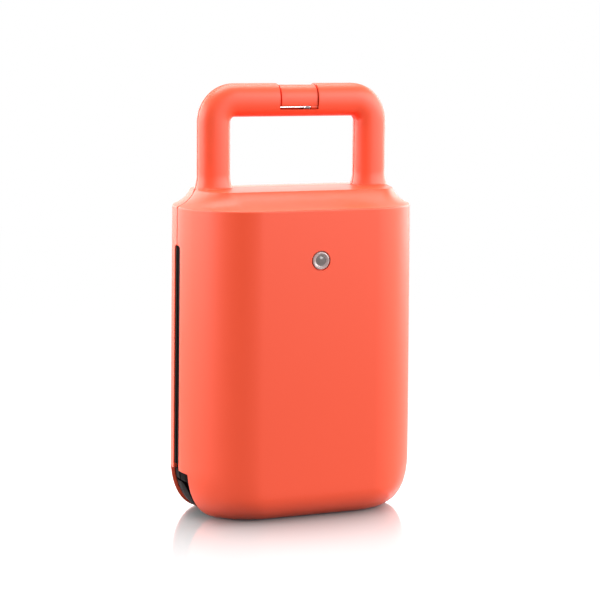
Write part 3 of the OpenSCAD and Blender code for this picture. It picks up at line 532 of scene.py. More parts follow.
# ---- Geometry Nodes ----
def geometry_group(name, inputs):
    """A Geometry Nodes group that takes a geometry, named values and a material."""
    inputs = {"Geometry": "Geometry", **inputs, "Material": "Material"}
    return new_group("GeometryNodeTree", name, inputs, {"Geometry": "Geometry"})


def closed_geometry(tree, given, out, geometry):
    real = tree.add("GeometryNodeRealizeInstances", Geometry=geometry)
    return tree.closed(
        out, tree.add("GeometryNodeSetMaterial", Geometry=real, Material=given["Material"])
    )


def grow(obj, maker, look, **values):
    """Runs a Geometry Nodes group on an object and keeps what it makes as the object's mesh."""
    tree = group(maker)
    mod = obj.modifiers.new(tree.name, "NODES")
    mod.node_group = tree
    values["Material"] = finish(look)
    for item in tree.interface.items_tree:
        key = item.name.replace(" ", "_")
        if item.in_out == "INPUT" and key in values:
            mod[item.identifier] = values[key]
    bake(obj)
    return obj


def scattered(name, points, edges=()):
    """An object whose mesh is only points, or points joined by edges."""
    mesh = bpy.data.meshes.new(name)
    mesh.from_pydata(points, edges, [])
    return new_object(name, mesh)


def screws_group():
    """Cross-recessed pan-head screws with a thread, one on each point."""
    tree, given, out = geometry_group("Screws", {
        "Head Radius": 2.9 * MM, "Head Height": 1.5 * MM, "Shank Radius": 1.5 * MM,
        "Shank Length": 12 * MM, "Pitch": 1.1 * MM, "Recess": 0.8 * MM, "Turn": (0, 0, 0),
    })
    head_r, head_h = given["Head Radius"], given["Head Height"]
    shank_r, shank_l = given["Shank Radius"], given["Shank Length"]
    half = tree.times(head_h, 0.5)
    drum = tree.raised(tree.cylinder(32, head_r, half), tree.times(half, 0.5))
    ball = tree.add("GeometryNodeMeshUVSphere", Segments=32, Rings=16, Radius=head_r)
    flat = tree.over(tree.times(half, 0.96), head_r)
    ball = tree.moved(ball, tree.vector(0, 0, half), scale=tree.vector(0.995, 0.995, flat))
    head = tree.boolean("UNION", [drum, ball])
    size = tree.vector(tree.times(head_r, 1.1), 0.6 * MM, tree.times(given["Recess"], 2.0))
    blade = tree.add("GeometryNodeMeshCube", Size=size)
    place = tree.vector(0, 0, head_h)
    blades = [tree.moved(blade, place, (0, 0, turn)) for turn in (0, pi / 2)]
    head = tree.boolean("DIFFERENCE", blades, head)
    core_r = tree.times(shank_r, 0.84)
    core = tree.raised(tree.cylinder(20, core_r, shank_l), tree.times(shank_l, -0.495))
    spiral = tree.add(
        "GeometryNodeCurveSpiral", Resolution=14, Rotations=tree.over(shank_l, given["Pitch"]),
        Start_Radius=tree.times(shank_r, 0.62), End_Radius=core_r, Height=tree.times(shank_l, 0.94),
    )
    ridge = tree.swept(spiral, tree.circle(4, tree.times(shank_r, 0.15)), True)
    thread = tree.raised(ridge, tree.times(shank_l, -0.985))
    screws = tree.on_points(
        given["Geometry"], tree.joined(head, core, thread), Rotation=given["Turn"]
    )
    return closed_geometry(tree, given, out, screws)


def lugs_group():
    """Rows of rounded, tapered lugs added to a plate, tips towards -Y."""
    tree, given, out = geometry_group("Waffle lugs", {
        "Columns": 5, "Rows": 5, "Step X": 21 * MM, "Step Z": 22 * MM, "Width": 16 * MM,
        "Height": 8 * MM, "Draft": 2 * MM, "Place": (0, 0, 0),
    })
    width, height = given["Width"], given["Height"]
    cube = tree.add("GeometryNodeMeshCube", Size=tree.vector(width, width, height))
    spot = tree.node("ShaderNodeSeparateXYZ", tree.add("GeometryNodeInputPosition")).outputs
    up = tree.plus(tree.over(spot["Z"], height), 0.5)
    slope = tree.over(tree.times(given["Draft"], -2.0), width)
    share = tree.plus(tree.times(up, slope), 1.0)
    place = tree.vector(tree.times(spot["X"], share), tree.times(spot["Y"], share), spot["Z"])
    tapered = tree.add("GeometryNodeSetPosition", Geometry=cube, Position=place)
    soft = tree.add("GeometryNodeSubdivisionSurface", Mesh=tapered, Level=4, Edge_Crease=0.86)
    columns, rows = given["Columns"], given["Rows"]
    grid = tree.add(
        "GeometryNodeMeshGrid", Vertices_X=columns, Vertices_Y=rows,
        Size_X=tree.times(tree.minus(columns, 1), given["Step X"]),
        Size_Y=tree.times(tree.minus(rows, 1), given["Step Z"]),
    )
    real = tree.add("GeometryNodeRealizeInstances", Geometry=tree.on_points(grid, soft))
    turned = tree.moved(real, given["Place"], (pi / 2, 0, 0))
    return closed_geometry(tree, given, out, tree.joined(given["Geometry"], turned))


def feet_group():
    """Round rubber feet with a soft edge and a hollow face, one on each point, facing +Y."""
    tree, given, out = geometry_group("Rubber feet", {
        "Radius": 6.5 * MM, "Height": 4.8 * MM, "Hollow": 3.2 * MM, "Edge": 0.8 * MM,
    })
    height, hollow = given["Height"], given["Hollow"]
    wide = tree.minus(given["Radius"], hollow)
    profile = tree.filleted(
        tree.add(
            "GeometryNodeCurvePrimitiveQuadrilateral", Width=wide, Height=height, mode="RECTANGLE"
        ),
        given["Edge"], 5,
    )
    ring = tree.swept(tree.circle(48, tree.plus(hollow, tree.times(wide, 0.5))), profile)
    floor = tree.times(height, 0.72)
    drop = tree.times(tree.minus(floor, height), 0.5)
    disc = tree.raised(tree.cylinder(40, tree.plus(hollow, 0.4 * MM), floor), drop)
    dot = tree.raised(tree.cylinder(20, 0.7 * MM, floor), tree.plus(drop, 0.4 * MM))
    foot = tree.joined(ring, disc, dot)
    feet = tree.on_points(given["Geometry"], foot, Rotation=(-pi / 2, 0, 0))
    return closed_geometry(tree, given, out, feet)


def leads_group():
    """Sleeved leads along edges, with a crimped ferrule at each end."""
    tree, given, out = geometry_group("Leads", {
        "Radius": 1.1 * MM, "Bend": 3 * MM, "Ferrule": 3 * MM,
    })
    radius = given["Radius"]
    curve = tree.add("GeometryNodeMeshToCurve", Mesh=given["Geometry"])
    curve = tree.filleted(curve, given["Bend"], 6)
    sleeve = tree.swept(curve, tree.circle(14, radius), True)
    along = tree.add("GeometryNodeInputTangent")
    ferrules = tree.on_points(
        curve, tree.cylinder(20, tree.times(radius, 1.08), given["Ferrule"]),
        Selection=tree.add("GeometryNodeCurveEndpointSelection"),
        Rotation=tree.add("FunctionNodeAlignRotationToVector", Vector=along, axis="Z"),
    )
    return closed_geometry(tree, given, out, tree.joined(sleeve, ferrules))


def spring_group():
    """A close coil of wire along X, starting at each point."""
    tree, given, out = geometry_group("Coil spring", {
        "Turns": 4.0, "Radius": 1.05 * MM, "Wire": 0.25 * MM, "Length": 2.5 * MM,
    })
    spiral = tree.add(
        "GeometryNodeCurveSpiral", Resolution=28, Rotations=given["Turns"],
        Start_Radius=given["Radius"], End_Radius=given["Radius"], Height=given["Length"],
    )
    coil = tree.swept(spiral, tree.circle(10, given["Wire"]), True)
    springs = tree.on_points(given["Geometry"], coil, Rotation=(0, pi / 2, 0))
    return closed_geometry(tree, given, out, springs)


# ---- The shells' shape ----
STEP_ROOM = 0.9 * MM
RIM_ROOM = 15 * MM
CROWN_BLEND = 4 * MM
SLOT_END = 2 * MM
SLOT_CURL = 0.8 * MM
FLARE_FROM = radians(20)
FLARE_TO = radians(65)
SHOULDER_R = 1.1 * MM
SHOULDER_LOW = 0.65 * MM
NECK_R = 0.4 * MM
NECK_GRID = 4 * MM
NECK_CLEAR = 1.5 * MM
LEG_ROOM = (11 * MM, 9.5 * MM)

# The rim in millimetres, by height over the hinge opening: distance inwards from the hinge's rim up
# to the opening's top, and distance outwards from the slot's edge over it.
HINGE_STEPS = [(-2.2, 0.0), (-1.2, 0.02), (-0.6, 0.12), (-0.3, 0.35), (-0.15, 0.8)]
SLOT_STEPS = [(0, 1.2), (0.25, 0.45), (0.7, 0.1), (1.3, 0)]


def arc_angles(count):
    """Angles from 0 to 90 degrees."""
    return [pi / 2 * k / count for k in range(count + 1)]


def between(points, place):
    """Value at a place on a line of (place, value) points, or None beyond its ends."""
    for (a, first), (b, last) in zip(points, points[1:]):
        if a <= place <= b:
            return mix(first, last, (place - a) / (b - a))
    return None


def level(width, flat, depth, height):
    return {"width": width, "flat": flat, "depth": depth, "height": height}


def low_level(z):
    """The level at a height between the floor and the shoulder."""
    s = settings().shell
    run = sqrt(1 - max(0.0, 1 - z / s.corner_height) ** 2)
    width = s.half_width + s.lean * (1 - z / s.shoulder) - s.corner * (1 - run)
    depth = s.depth
    if z < s.foot_edge:
        depth += sqrt(max(0.0, s.foot_edge**2 - (s.foot_edge - z) ** 2)) - s.foot_edge
    return level(width, mix(s.foot_flat, s.flat, run), depth, z)


def foot_heights():
    """Heights from the floor up to the shoulder, with the steps of the hinge opening and slot."""
    s = settings().shell
    steps = [z for z, _ in rim_steps()]
    rows = [s.corner_height * (1 - cos(q)) for q in arc_angles(30)]
    rows = [z for z in rows if all(abs(z - t) > STEP_ROOM for t in steps)]
    rows += [mix(s.corner_height, s.slot_top, t) for t in (0.25, 0.5, 0.75)]
    return sorted(rows + steps)


def rim_steps():
    """Points of the rim where it steps, as (height, distance from the parting face)."""
    s = settings().shell
    top, end, curl = s.slot_top, SLOT_END, SLOT_CURL
    points = [(s.hinge_top + z * MM, s.hinge_rim - y * MM) for z, y in HINGE_STEPS]
    points += [(s.hinge_top + z * MM, s.slot + y * MM) for z, y in SLOT_STEPS]
    for q in arc_angles(5):
        points.append((top - end + end * sin(q), s.slot - end + end * cos(q)))
    points[-1] = (top - 0.05 * MM, s.slot - end)
    for q in arc_angles(4):
        points.append((top + curl * (1 - cos(q)), s.parting + curl * (1 - sin(q))))
    return points


def rim(z):
    """Distance of the rim from the parting face at a height."""
    s = settings().shell
    return between([(-1, s.hinge_rim), *rim_steps(), (1, s.parting)], z)


def shoulder_levels():
    """Levels from the shoulder's rounded edge over the flare to the neck's edge."""
    s = settings().shell
    rows = []
    for k in range(7):
        q = (pi / 2 - FLARE_FROM) * k / 6
        back = SHOULDER_R * (1 - cos(q))
        z = s.shoulder - SHOULDER_LOW + SHOULDER_R * sin(q)
        rows.append(level(s.half_width - back, s.flat, s.depth - back, z))
    start = rows[-1]
    end = level(s.neck_width, s.neck_flat, s.neck_depth, s.shoulder + s.neck_rise - NECK_R)
    across = sin(FLARE_TO) - sin(FLARE_FROM)
    up = cos(FLARE_FROM) - cos(FLARE_TO)
    for k in range(1, 17):
        q = mix(FLARE_FROM, FLARE_TO, k / 16)
        go = (sin(q) - sin(FLARE_FROM)) / across
        row = {key: mix(start[key], end[key], go) for key in start}
        rise = (cos(FLARE_FROM) - cos(q)) / up
        rows.append({**row, "height": mix(start["height"], end["height"], rise)})
    for k in range(1, 5):
        q = FLARE_TO * (1 - k / 4)
        back = NECK_R * (sin(FLARE_TO) - sin(q))
        rise = NECK_R * (cos(q) - cos(FLARE_TO)) / (1 - cos(FLARE_TO))
        rows.append(
            level(s.neck_width - back, s.neck_flat, s.neck_depth - back, end["height"] + rise)
        )
    return rows


def ring(row, rim_y):
    """Points round a level, from the right rim over the flat face to the left rim."""
    steps = settings().around
    flat, depth = row["flat"], row["depth"]
    anchor = max(RIM_ROOM, rim_y + 1 * MM)
    first = asin(min(1.0, anchor / depth))
    rows = [mix(rim_y, anchor, t) for t in (0, 0.12, 0.35, 0.65)]
    rows += [depth * sin(mix(first, pi / 2, k / steps)) for k in range(steps + 1)]
    end = row["width"] - flat
    right = [(flat + end * sqrt(max(0.0, 1 - (y / depth) ** 2)), y) for y in rows]
    middle = [(mix(flat, -flat, k / 10), depth) for k in range(1, 10)]
    left = [(-x, y) for x, y in reversed(right)]
    return [Vector((x, y, row["height"])) for x, y in right + middle + left]


def skin_rows(bm, rows, closed=False):
    """Joins rows of points into quads and returns the rows of vertices."""
    made = [[bm.verts.new(p) for p in row] for row in rows]
    for low, high in zip(made, made[1:]):
        count = len(low)
        for i in range(count if closed else count - 1):
            j = (i + 1) % count
            bm.faces.new((low[i], low[j], high[j], high[i]))
    return made


def bar_points(widen=0.0):
    """Points of half of the bar's section from rim to rim, as (outwards, backwards)."""
    h = settings().handle
    out, back = h.bar + widen, h.depth + widen
    first = asin((settings().shell.parting / back) ** (h.power / 2))
    angles = [mix(first, pi - first, k / 30) for k in range(31)]
    power = 2 / h.power
    return [(out * rounded(cos(q), power), back * rounded(sin(q), power)) for q in angles]


def crown_height(y):
    s = settings().shell
    return s.shoulder + s.neck_rise + s.crown * (1 - min(1.0, (y / s.neck_depth) ** 2))


def leg_rings(side):
    """Rings of one leg from the neck up to its bend."""
    h = settings().handle
    foot = crown_height(0)
    heights = [0.0, 0.15, 0.35, 0.6, 0.9, 1.4, 2.2, 3.2, 4.4, 5.8, 7.0, 8.0]
    rings = []
    for height in [z * MM for z in heights] + [h.top - h.bar - h.bend - foot]:
        widen = h.flare * max(0.0, 1 - height / h.flare_height) ** 2
        sunk = max(0.0, 1 - height / h.fillet)
        fillet = h.fillet * (1 - sqrt(max(0.0, 1 - sunk**2)))
        points = []
        for u, v in bar_points(widen):
            size = hypot(u, v)
            u += fillet * min(0.0, u) / size
            v += fillet * v / size * (v > 1 * MM)
            base = mix(crown_height(v), foot, min(1.0, height / CROWN_BLEND))
            points.append(Vector((side * (h.leg + u), v, base + height)))
        rings.append(points)
    return rings


def arch_rings():
    """Rings over the bends and the bar, from the right leg to the left one."""
    h = settings().handle
    straight = h.leg - h.bend
    centre = h.top - h.bar
    section = bar_points()

    def bend(side, q):
        points = []
        for u, v in section:
            out, up = (h.bend + u) * cos(q), (h.bend + u) * sin(q)
            points.append(Vector((side * (straight + out), v, centre - h.bend + up)))
        return points

    turns = arc_angles(16)[1:]
    places = [mix(straight, -straight, t) for t in (0.2, 0.4, 0.6, 0.8)]
    bar = [[Vector((x, v, centre + u)) for u, v in section] for x in places]
    return [bend(1, q) for q in turns] + bar + [bend(-1, q) for q in reversed(turns)]


def fill_neck_top(bm, edge_row, foot_rows):
    """Fills the neck's crowned top between its edge and the feet of the legs."""
    s = settings().shell
    right, left = foot_rows
    # The loop follows the neck's edge from right to left, then the left foot from its outer end to
    # its inner one and the right foot from its inner end to its outer one.
    loop = [*edge_row, *left, *reversed(right)]
    coords = [v.co.xy for v in loop]
    count = len(loop)
    edges = [(i, (i + 1) % count) for i in range(count)]
    inside = []
    for k in range(1, 9):
        y = mix(s.parting, s.neck_depth, k / 9)
        for i in range(-13, 14):
            place = Vector((i * NECK_GRID, y))
            gap = abs(abs(place.x) - settings().handle.leg)
            in_leg = gap < LEG_ROOM[0] and y < LEG_ROOM[1]
            if not in_leg and min((place - c).length for c in coords) > NECK_CLEAR:
                inside.append(place)
    outline = [list(range(count))]
    verts, _, faces, *_ = delaunay_2d_cdt(coords + inside, edges, outline, 1, 1e-7)
    made = loop + [bm.verts.new((p.x, p.y, crown_height(p.y))) for p in verts[count:]]
    for face in faces:
        bm.faces.new([made[i] for i in face])


def shell_surface():
    """The base's outer surface with its half of the handle, as one open skin."""
    bm = bmesh.new()
    levels = [low_level(z) for z in foot_heights()] + shoulder_levels()
    body = skin_rows(bm, [ring(row, rim(row["height"])) for row in levels])
    bm.faces.new(list(reversed(body[0])))
    swept = skin_rows(bm, [*leg_rings(1), *arch_rings(), *reversed(leg_rings(-1))])
    fill_neck_top(bm, body[-1], (swept[0], swept[-1]))
    bmesh.ops.remove_doubles(bm, verts=bm.verts, dist=0.005 * MM)
    bmesh.ops.recalc_face_normals(bm, faces=bm.faces)
    # The skin is open, so its normals may all point inwards: the rearmost large face tells.
    back = max(bm.faces, key=lambda f: f.calc_center_median().y * (f.calc_area() > 1e-6))
    if back.normal.y < 0:
        bmesh.ops.reverse_faces(bm, faces=bm.faces)
    return bm


# ---- Latch ----
FAR = 40 * MM
CLIP_FRONT_RIM = 0.6 * MM
CLIP_BACK_RIM = 0.5 * MM
CLIP_PLAY = 0.4 * MM
SWING_PLAY = 0.35 * MM
KNUCKLE_PLAY = 0.3 * MM
OVERLAP = 0.01 * MM
CHEEK = 3 * MM
PIN_HOLE = 0.65 * MM


def pin_centre():
    return Vector((0, (PIN_LOW.y + PIN_HIGH.y) / 2, (PIN_LOW.z + PIN_HIGH.z) / 2))


def solid_of_rows(name, rows):
    """A solid through rings of points, closed by a flat face at each end."""
    bm = bmesh.new()
    made = skin_rows(bm, rows, closed=True)
    bm.faces.new(made[0])
    bm.faces.new(made[-1])
    bmesh.ops.recalc_face_normals(bm, faces=bm.faces)
    return from_bmesh(name, bm)


def section_prism(name, inset, x0, x1):
    """A prism of the bar's section, inset, between two places along the bar."""
    h = settings().handle
    power = 2 / h.power
    section = [
        (
            (h.depth - inset) * rounded(cos(q), power),
            h.top - h.bar + (h.bar - inset) * rounded(sin(q), power),
        )
        for q in circle_angles(72)
    ]
    return solid_of_rows(name, [[Vector((x, y, z)) for y, z in section] for x in (x0, x1)])


def latch_recess():
    """The room that the clip, its knuckle and its swing need in the handle."""
    h, l = settings().handle, settings().latch
    pin = pin_centre()
    x0, x1 = l.slot_left, l.slot_right
    over, under = x0 - 1 * MM, x1 + 1 * MM
    front_z = pin.z - l.knuckle - 0.25 * MM
    tool = block((x0, -FAR, front_z), (x1, OVERLAP, h.top + FAR))
    cut(tool, block((x0, 0, pin.z - 0.1 * MM), (x1, FAR, h.top + FAR)), "UNION")
    inner = l.sink + l.thick
    core = section_prism("core", inner + CLIP_PLAY, over, under)
    # The clip's inner rim at the back turns about the pin, and the bar's core gives way to it.
    up = abs(pin.z + CLIP_BACK_RIM - (h.top - h.bar)) / (h.bar - inner)
    corner = (h.depth - inner) * (1 - up**h.power) ** (1 / h.power)
    swing = hypot(corner - pin.y, CLIP_BACK_RIM) - SWING_PLAY
    cut(core, rod_along("x", pin, over, under, swing, 96), "INTERSECT")
    cut(tool, core)
    cut(tool, rod_along("x", pin, x0, x1, l.knuckle + KNUCKLE_PLAY), "UNION")
    return tool


def latch_block(sign):
    """The solid stretch of one handle half under the latch."""
    l, s = settings().latch, settings().shell
    core = section_prism("latch_block", s.wall / 2, l.slot_left - CHEEK, l.slot_right + CHEEK)
    near, far = sorted((sign * s.parting, sign * FAR))
    cut(core, block((-FAR, near, 0), (FAR, far, 1)), "INTERSECT")
    return core


def build_shell(name, sign):
    """One shell: sign is 1 for the base and -1 for the lid."""
    s = settings().shell
    bm = shell_surface()
    if sign < 0:
        mirror(bm)
    shell = from_bmesh(name, bm)
    modify(shell, "SOLIDIFY", thickness=s.wall, offset=-1, use_even_offset=True, use_rim=True)
    bevel(shell, s.edge)
    bake(shell)
    # The rounded rim keeps to its own side of the parting face and under the shoulder's outline.
    outline = [(row["width"], row["height"]) for row in reversed(shoulder_levels())]
    for vert in shell.data.vertices:
        vert.co.y = sign * max(sign * vert.co.y, s.parting / 2)
        if abs(vert.co.y) < s.wall and 0 < vert.co.z - s.shoulder < s.neck_rise:
            vert.co.z = min(vert.co.z, between(outline, abs(vert.co.x)) or vert.co.z)
    cut(shell, latch_block(sign), "UNION")
    cut(shell, latch_recess())
    return shell


FOOT_R = 6.5 * MM
FOOT_SEAT = 6.65 * MM
FOOT_SUNK = 2.9 * MM
FOOT_PROUD = 5 * MM
GLAND_BOSS = 7.9 * MM
GLAND_HOLE = 5.5 * MM
LENS_HOLE = 4.5 * MM
LENS_SEAT = 5.6 * MM
LENS_SEAT_DEPTH = 1.4 * MM
LENS_CUT = (-60 * MM, -30 * MM)


def foot_places():
    """Centres of the feet on the base's back."""
    low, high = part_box("base_feet")
    back = settings().shell.depth
    return [
        Vector((x, back, z))
        for x in (low.x + FOOT_R, high.x - FOOT_R)
        for z in (low.z + FOOT_R, high.z - FOOT_R)
    ]


class COOKER_OT_shells(bpy.types.Operator):
    """Builds the two moulded shells with their halves of the handle"""

    bl_idname = "cooker.shells"
    bl_label = "Shells"

    def execute(self, context):
        base = build_shell("base_casing", 1)
        for foot in foot_places():
            cut(base, rod_along("y", foot, foot.y - FOOT_SUNK, foot.y + FOOT_PROUD, FOOT_SEAT))
        low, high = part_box("cord_gland")
        gland = (low + high) / 2
        boss = rod_along("x", gland, low.x + 2 * MM, high.x - 1.6 * MM, GLAND_BOSS)
        cut(base, boss, "UNION")
        cut(base, rod_along("x", gland, low.x - 2 * MM, high.x + 3 * MM, GLAND_HOLE))
        finish_piece(base, "base", "Coral moulding", "base_shell")
        lid = build_shell("lid_casing", -1)
        lamp = Vector((0, 0, (LENS_LOW.z + LENS_HIGH.z) / 2))
        seat_y = LENS_SEAT_DEPTH - settings().shell.depth
        cut(lid, rod_along("y", lamp, *LENS_CUT, LENS_HOLE))
        cut(lid, rod_along("y", lamp, LENS_CUT[0], seat_y, LENS_SEAT, 96))
        finish_piece(lid, "lid", "Coral moulding", "lid_shell")
        return {"FINISHED"}


class COOKER_OT_latch(bpy.types.Operator):
    """Builds the clip that holds the two halves of the handle together"""

    bl_idname = "cooker.latch"
    bl_label = "Latch clip"

    def execute(self, context):
        l = settings().latch
        pin = pin_centre()
        x0, x1 = CLIP_LOW.x, CLIP_HIGH.x
        clip = section_prism("latch_cover", l.sink, x0, x1)
        cut(clip, section_prism("tool", l.sink + l.thick, x0 - 1 * MM, x1 + 1 * MM))
        cut(clip, block((-FAR, -FAR, 0), (FAR, OVERLAP, pin.z + CLIP_FRONT_RIM)))
        cut(clip, block((-FAR, 0, 0), (FAR, FAR, pin.z + CLIP_BACK_RIM)))
        bevel(clip, l.edge, angle=40)
        bake(clip)
        left = x1 - l.knuckle_width
        cut(clip, rod_along("x", pin, left, x1, l.knuckle), "UNION")
        cut(clip, rod_along("x", pin, left - 4 * MM, x1 + 4 * MM, PIN_HOLE))
        finish_piece(clip, "latch", "Coral moulding", "latch_clip")
        return {"FINISHED"}


# ---- Pieces inside and outside the shells ----
def islands(name):
    """Lowest and highest corners of each loose part of a solid."""
    node = NODES[name]
    bm = bmesh.new()
    bm.from_mesh(node.data)
    bmesh.ops.remove_doubles(bm, verts=bm.verts, dist=0.001 * MM)
    seen = set()
    found = []
    for start in bm.verts:
        if start in seen:
            continue
        part = [start]
        seen.add(start)
        for vert in part:
            for edge in vert.link_edges:
                other = edge.other_vert(vert)
                if other not in seen:
                    seen.add(other)
                    part.append(other)
        corners = [node.matrix_world @ v.co for v in part]
        found.append([Vector(map(pick, *corners)) for pick in (min, max)])
    bm.free()
    return found


# Screws of each node: body, side that the heads face, height of a head and radius of a shank in mm.
SCREWS = {
    "base_frame_screws": ("base", -1, 1.5, 1.5),
    "lid_frame_screws": ("lid", 1, 1.5, 1.5),
    "base_plate_screws": ("base", 1, 1.5, 1.5),
    "lid_plate_screws": ("lid", -1, 1.5, 1.5),
    "base_reflector_screws": ("base", 1, 1.2, 1.2),
    "lid_reflector_screws": ("lid", -1, 1.2, 1.2),
    "cord_clamp_screws": ("base", -1, 1.5, 1.5),
    "terminal_block_screw": ("base", -1, 1.3, 1.1),
}


class COOKER_OT_screws(bpy.types.Operator):
    """Builds the screws of the frames, plates, reflectors, cord clamp and terminal block"""

    bl_idname = "cooker.screws"
    bl_label = "Screws"

    def execute(self, context):
        for name, (body, side, head_h, shank_r) in SCREWS.items():
            parts = islands(name)
            head_h *= MM
            points = []
            for low, high in parts:
                outer = high.y if side > 0 else low.y
                points.append(((low.x + high.x) / 2, outer - side * head_h, (low.z + high.z) / 2))
            low, high = parts[0]
            piece = grow(
                scattered(name.replace("screw", "fastener"), points), screws_group, "Zinc plate",
                Head_Radius=(high.x - low.x) / 2, Head_Height=head_h, Shank_Radius=shank_r * MM,
                Shank_Length=high.y - low.y - head_h, Recess=0.5 * head_h,
                Turn=(-side * pi / 2, 0, 0),
            )
            finish_piece(piece, body, "Zinc plate", name)
        return {"FINISHED"}


def rounded_loop(width, height, radius, middle_z, y, count=10):
    """Points round a rounded rectangle in a plane across Y."""
    loop = []
    for k, (sx, sz) in enumerate(((1, 1), (-1, 1), (-1, -1), (1, -1))):
        for i in range(count + 1):
            q = radians(90 * (k + i / count))
            x = sx * (width - radius) + radius * cos(q)
            z = sz * (height - radius) + radius * sin(q)
            loop.append(Vector((x, y, middle_z + z)))
    return loop


# Section of a plate in millimetres: inset from its outline and distance behind its rim.
PLATE_SECTION = [
    (0.8, 13.3), (0.25, 13.05), (0, 12.5), (0, 0.6), (0.2, 0.18), (0.6, 0), (2.3, 0), (2.75, 0.2),
    (2.95, 0.6), (3.0, 8.5), (3.2, 9.4), (3.7, 10.0), (4.8, 10.3),
]
PLATE_FLOOR = 10.3 * MM
PLATE_BACK = 13.3 * MM
PLATE_CORNER = 12 * MM
PLATE_EDGE = 5 * MM
PLATE_BOSS = 4 * MM
LUG_SUNK = 3.8 * MM
LUG_ROWS = 5


class COOKER_OT_plates(bpy.types.Operator):
    """Builds the two coated cooking plates with their waffle lugs"""

    bl_idname = "cooker.plates"
    bl_label = "Cooking plates"

    def execute(self, context):
        low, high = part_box("base_plate")
        middle = (low.z + high.z) / 2
        half_x, half_z = high.x, (high.z - low.z) / 2
        rows = []
        for inset, y in PLATE_SECTION:
            width, height, corner = (size - inset * MM for size in (half_x, half_z, PLATE_CORNER))
            rows.append(rounded_loop(width, height, corner, middle, low.y + y * MM))
        for body in ("base", "lid"):
            plate = solid_of_rows(body + "_griddle", rows)
            for x in (-1, 1):
                for z in (-1, 1):
                    boss = Vector((
                        x * (half_x - PLATE_CORNER), 0, middle + z * (half_z - PLATE_CORNER)
                    ))
                    start = low.y + PLATE_BACK - 1 * MM
                    cut(plate, rod_along("y", boss, start, high.y, PLATE_BOSS), "UNION")
            grow(
                plate, lugs_group, "Non-stick coating",
                Step_X=2 * (half_x - PLATE_EDGE) / LUG_ROWS,
                Step_Z=2 * (half_z - PLATE_EDGE) / LUG_ROWS,
                Place=(0, low.y + PLATE_FLOOR - LUG_SUNK, middle),
            )
            if body == "lid":
                bm = bmesh.new()
                bm.from_mesh(plate.data)
                mirror(bm)
                bm.to_mesh(plate.data)
                bm.free()
            finish_piece(plate, body, "Non-stick coating", body + "_plate", angle=40)
        return {"FINISHED"}


# Paths of the leads in millimetres: between the terminal block, thermostat, fuse and element in the
# base, and between the element and the lamp in the lid.
BASE_LEADS = [
    [(5, 33.7, 12.8), (5, 33.7, 24), (3, 30.7, 36), (2, 30.7, 60), (4, 28.7, 75), (4, 28.7, 80)],
    [(-9, 32.7, 60), (-9, 34.7, 60), (-8, 33.7, 65), (-4, 28.7, 75), (-4, 28.7, 80)],
    [(9, 32.7, 60), (9, 34.7, 60), (14, 33.7, 65), (24, 27.3, 81), (24, 27.3, 86)],
    [(24, 27.3, 102), (24, 27.3, 106), (30, 30.7, 105), (33, 30.7, 94), (30, 30.7, 50),
     (23, 30.7, 31), (23, 33.7, 24), (23, 33.7, 12.8)],
]
LID_LEADS = [
    [(s * 9, -32.7, 60), (s * 9, -34.7, 60), (s * 11, -30.7, 72), (s * 12, -30.7, 94),
     (s * 7, -30.7, 131.5), (s * 1.4, -26.3, 139.5), (s * 1.4, -26.3, 145.5),
     (s * 1.4, -29.3, 147.5)]
    for s in (-1, 1)
]


class COOKER_OT_leads(bpy.types.Operator):
    """Builds the sleeved leads in the base and in the lid"""

    bl_idname = "cooker.leads"
    bl_label = "Leads"

    def execute(self, context):
        for body, paths in (("base", BASE_LEADS), ("lid", LID_LEADS)):
            points, edges = [], []
            for path in paths:
                first = len(points)
                points += [Vector(p) * MM for p in path]
                edges += [(i, i + 1) for i in range(first, len(points) - 1)]
            leads = scattered(body + "_leads", points, edges)
            grow(leads, leads_group, "Glass-fibre sleeving")
            finish_piece(
                leads, body, "Glass-fibre sleeving", body + "_wires", angle=50
            )
        return {"FINISHED"}


class COOKER_OT_feet(bpy.types.Operator):
    """Builds the four rubber feet on the base's back"""

    bl_idname = "cooker.feet"
    bl_label = "Feet"

    def execute(self, context):
        low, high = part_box("base_feet")
        points = [(p.x, (low.y + high.y) / 2, p.z) for p in foot_places()]
        feet = scattered("base_pads", points)
        grow(feet, feet_group, "Soft rubber", Height=high.y - low.y)
        finish_piece(feet, "base", "Soft rubber", "base_feet")
        return {"FINISHED"}


class COOKER_OT_spring(bpy.types.Operator):
    """Builds the latch's coil spring on its pin"""

    bl_idname = "cooker.spring"
    bl_label = "Latch spring"

    def execute(self, context):
        low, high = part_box("latch_spring")
        wire = 0.25 * MM
        start = (low.x + wire, (low.y + high.y) / 2, (low.z + high.z) / 2)
        spring = grow(
            scattered("latch_coil", [start]), spring_group, "Spring wire",
            Radius=(high.z - low.z) / 2 - wire, Wire=wire, Length=high.x - low.x - 2 * wire,
        )
        finish_piece(spring, "lid", "Spring wire", "latch_spring", angle=60)
        return {"FINISHED"}


# Section of the lamp in millimetres: distance from its axis and height over the lid's face.
LENS_SECTION = [
    (4.5, -1.38), (5.0, -1.38), (5.0, -0.3), (4.92, -0.06), (4.75, 0.1), (4.5, 0.18), (4.2, 0.2),
    (4.0, 0.16), (3.85, 0.04), (3.6, -0.22), (3.35, -0.44), (3.1, -0.56), (2.8, -0.58), (2.0, -0.5),
    (1.2, -0.42), (0.5, -0.38),
]
# Radius of the lens's middle that is painted darker, as painted shade.
LENS_INNER = 3.1 * MM


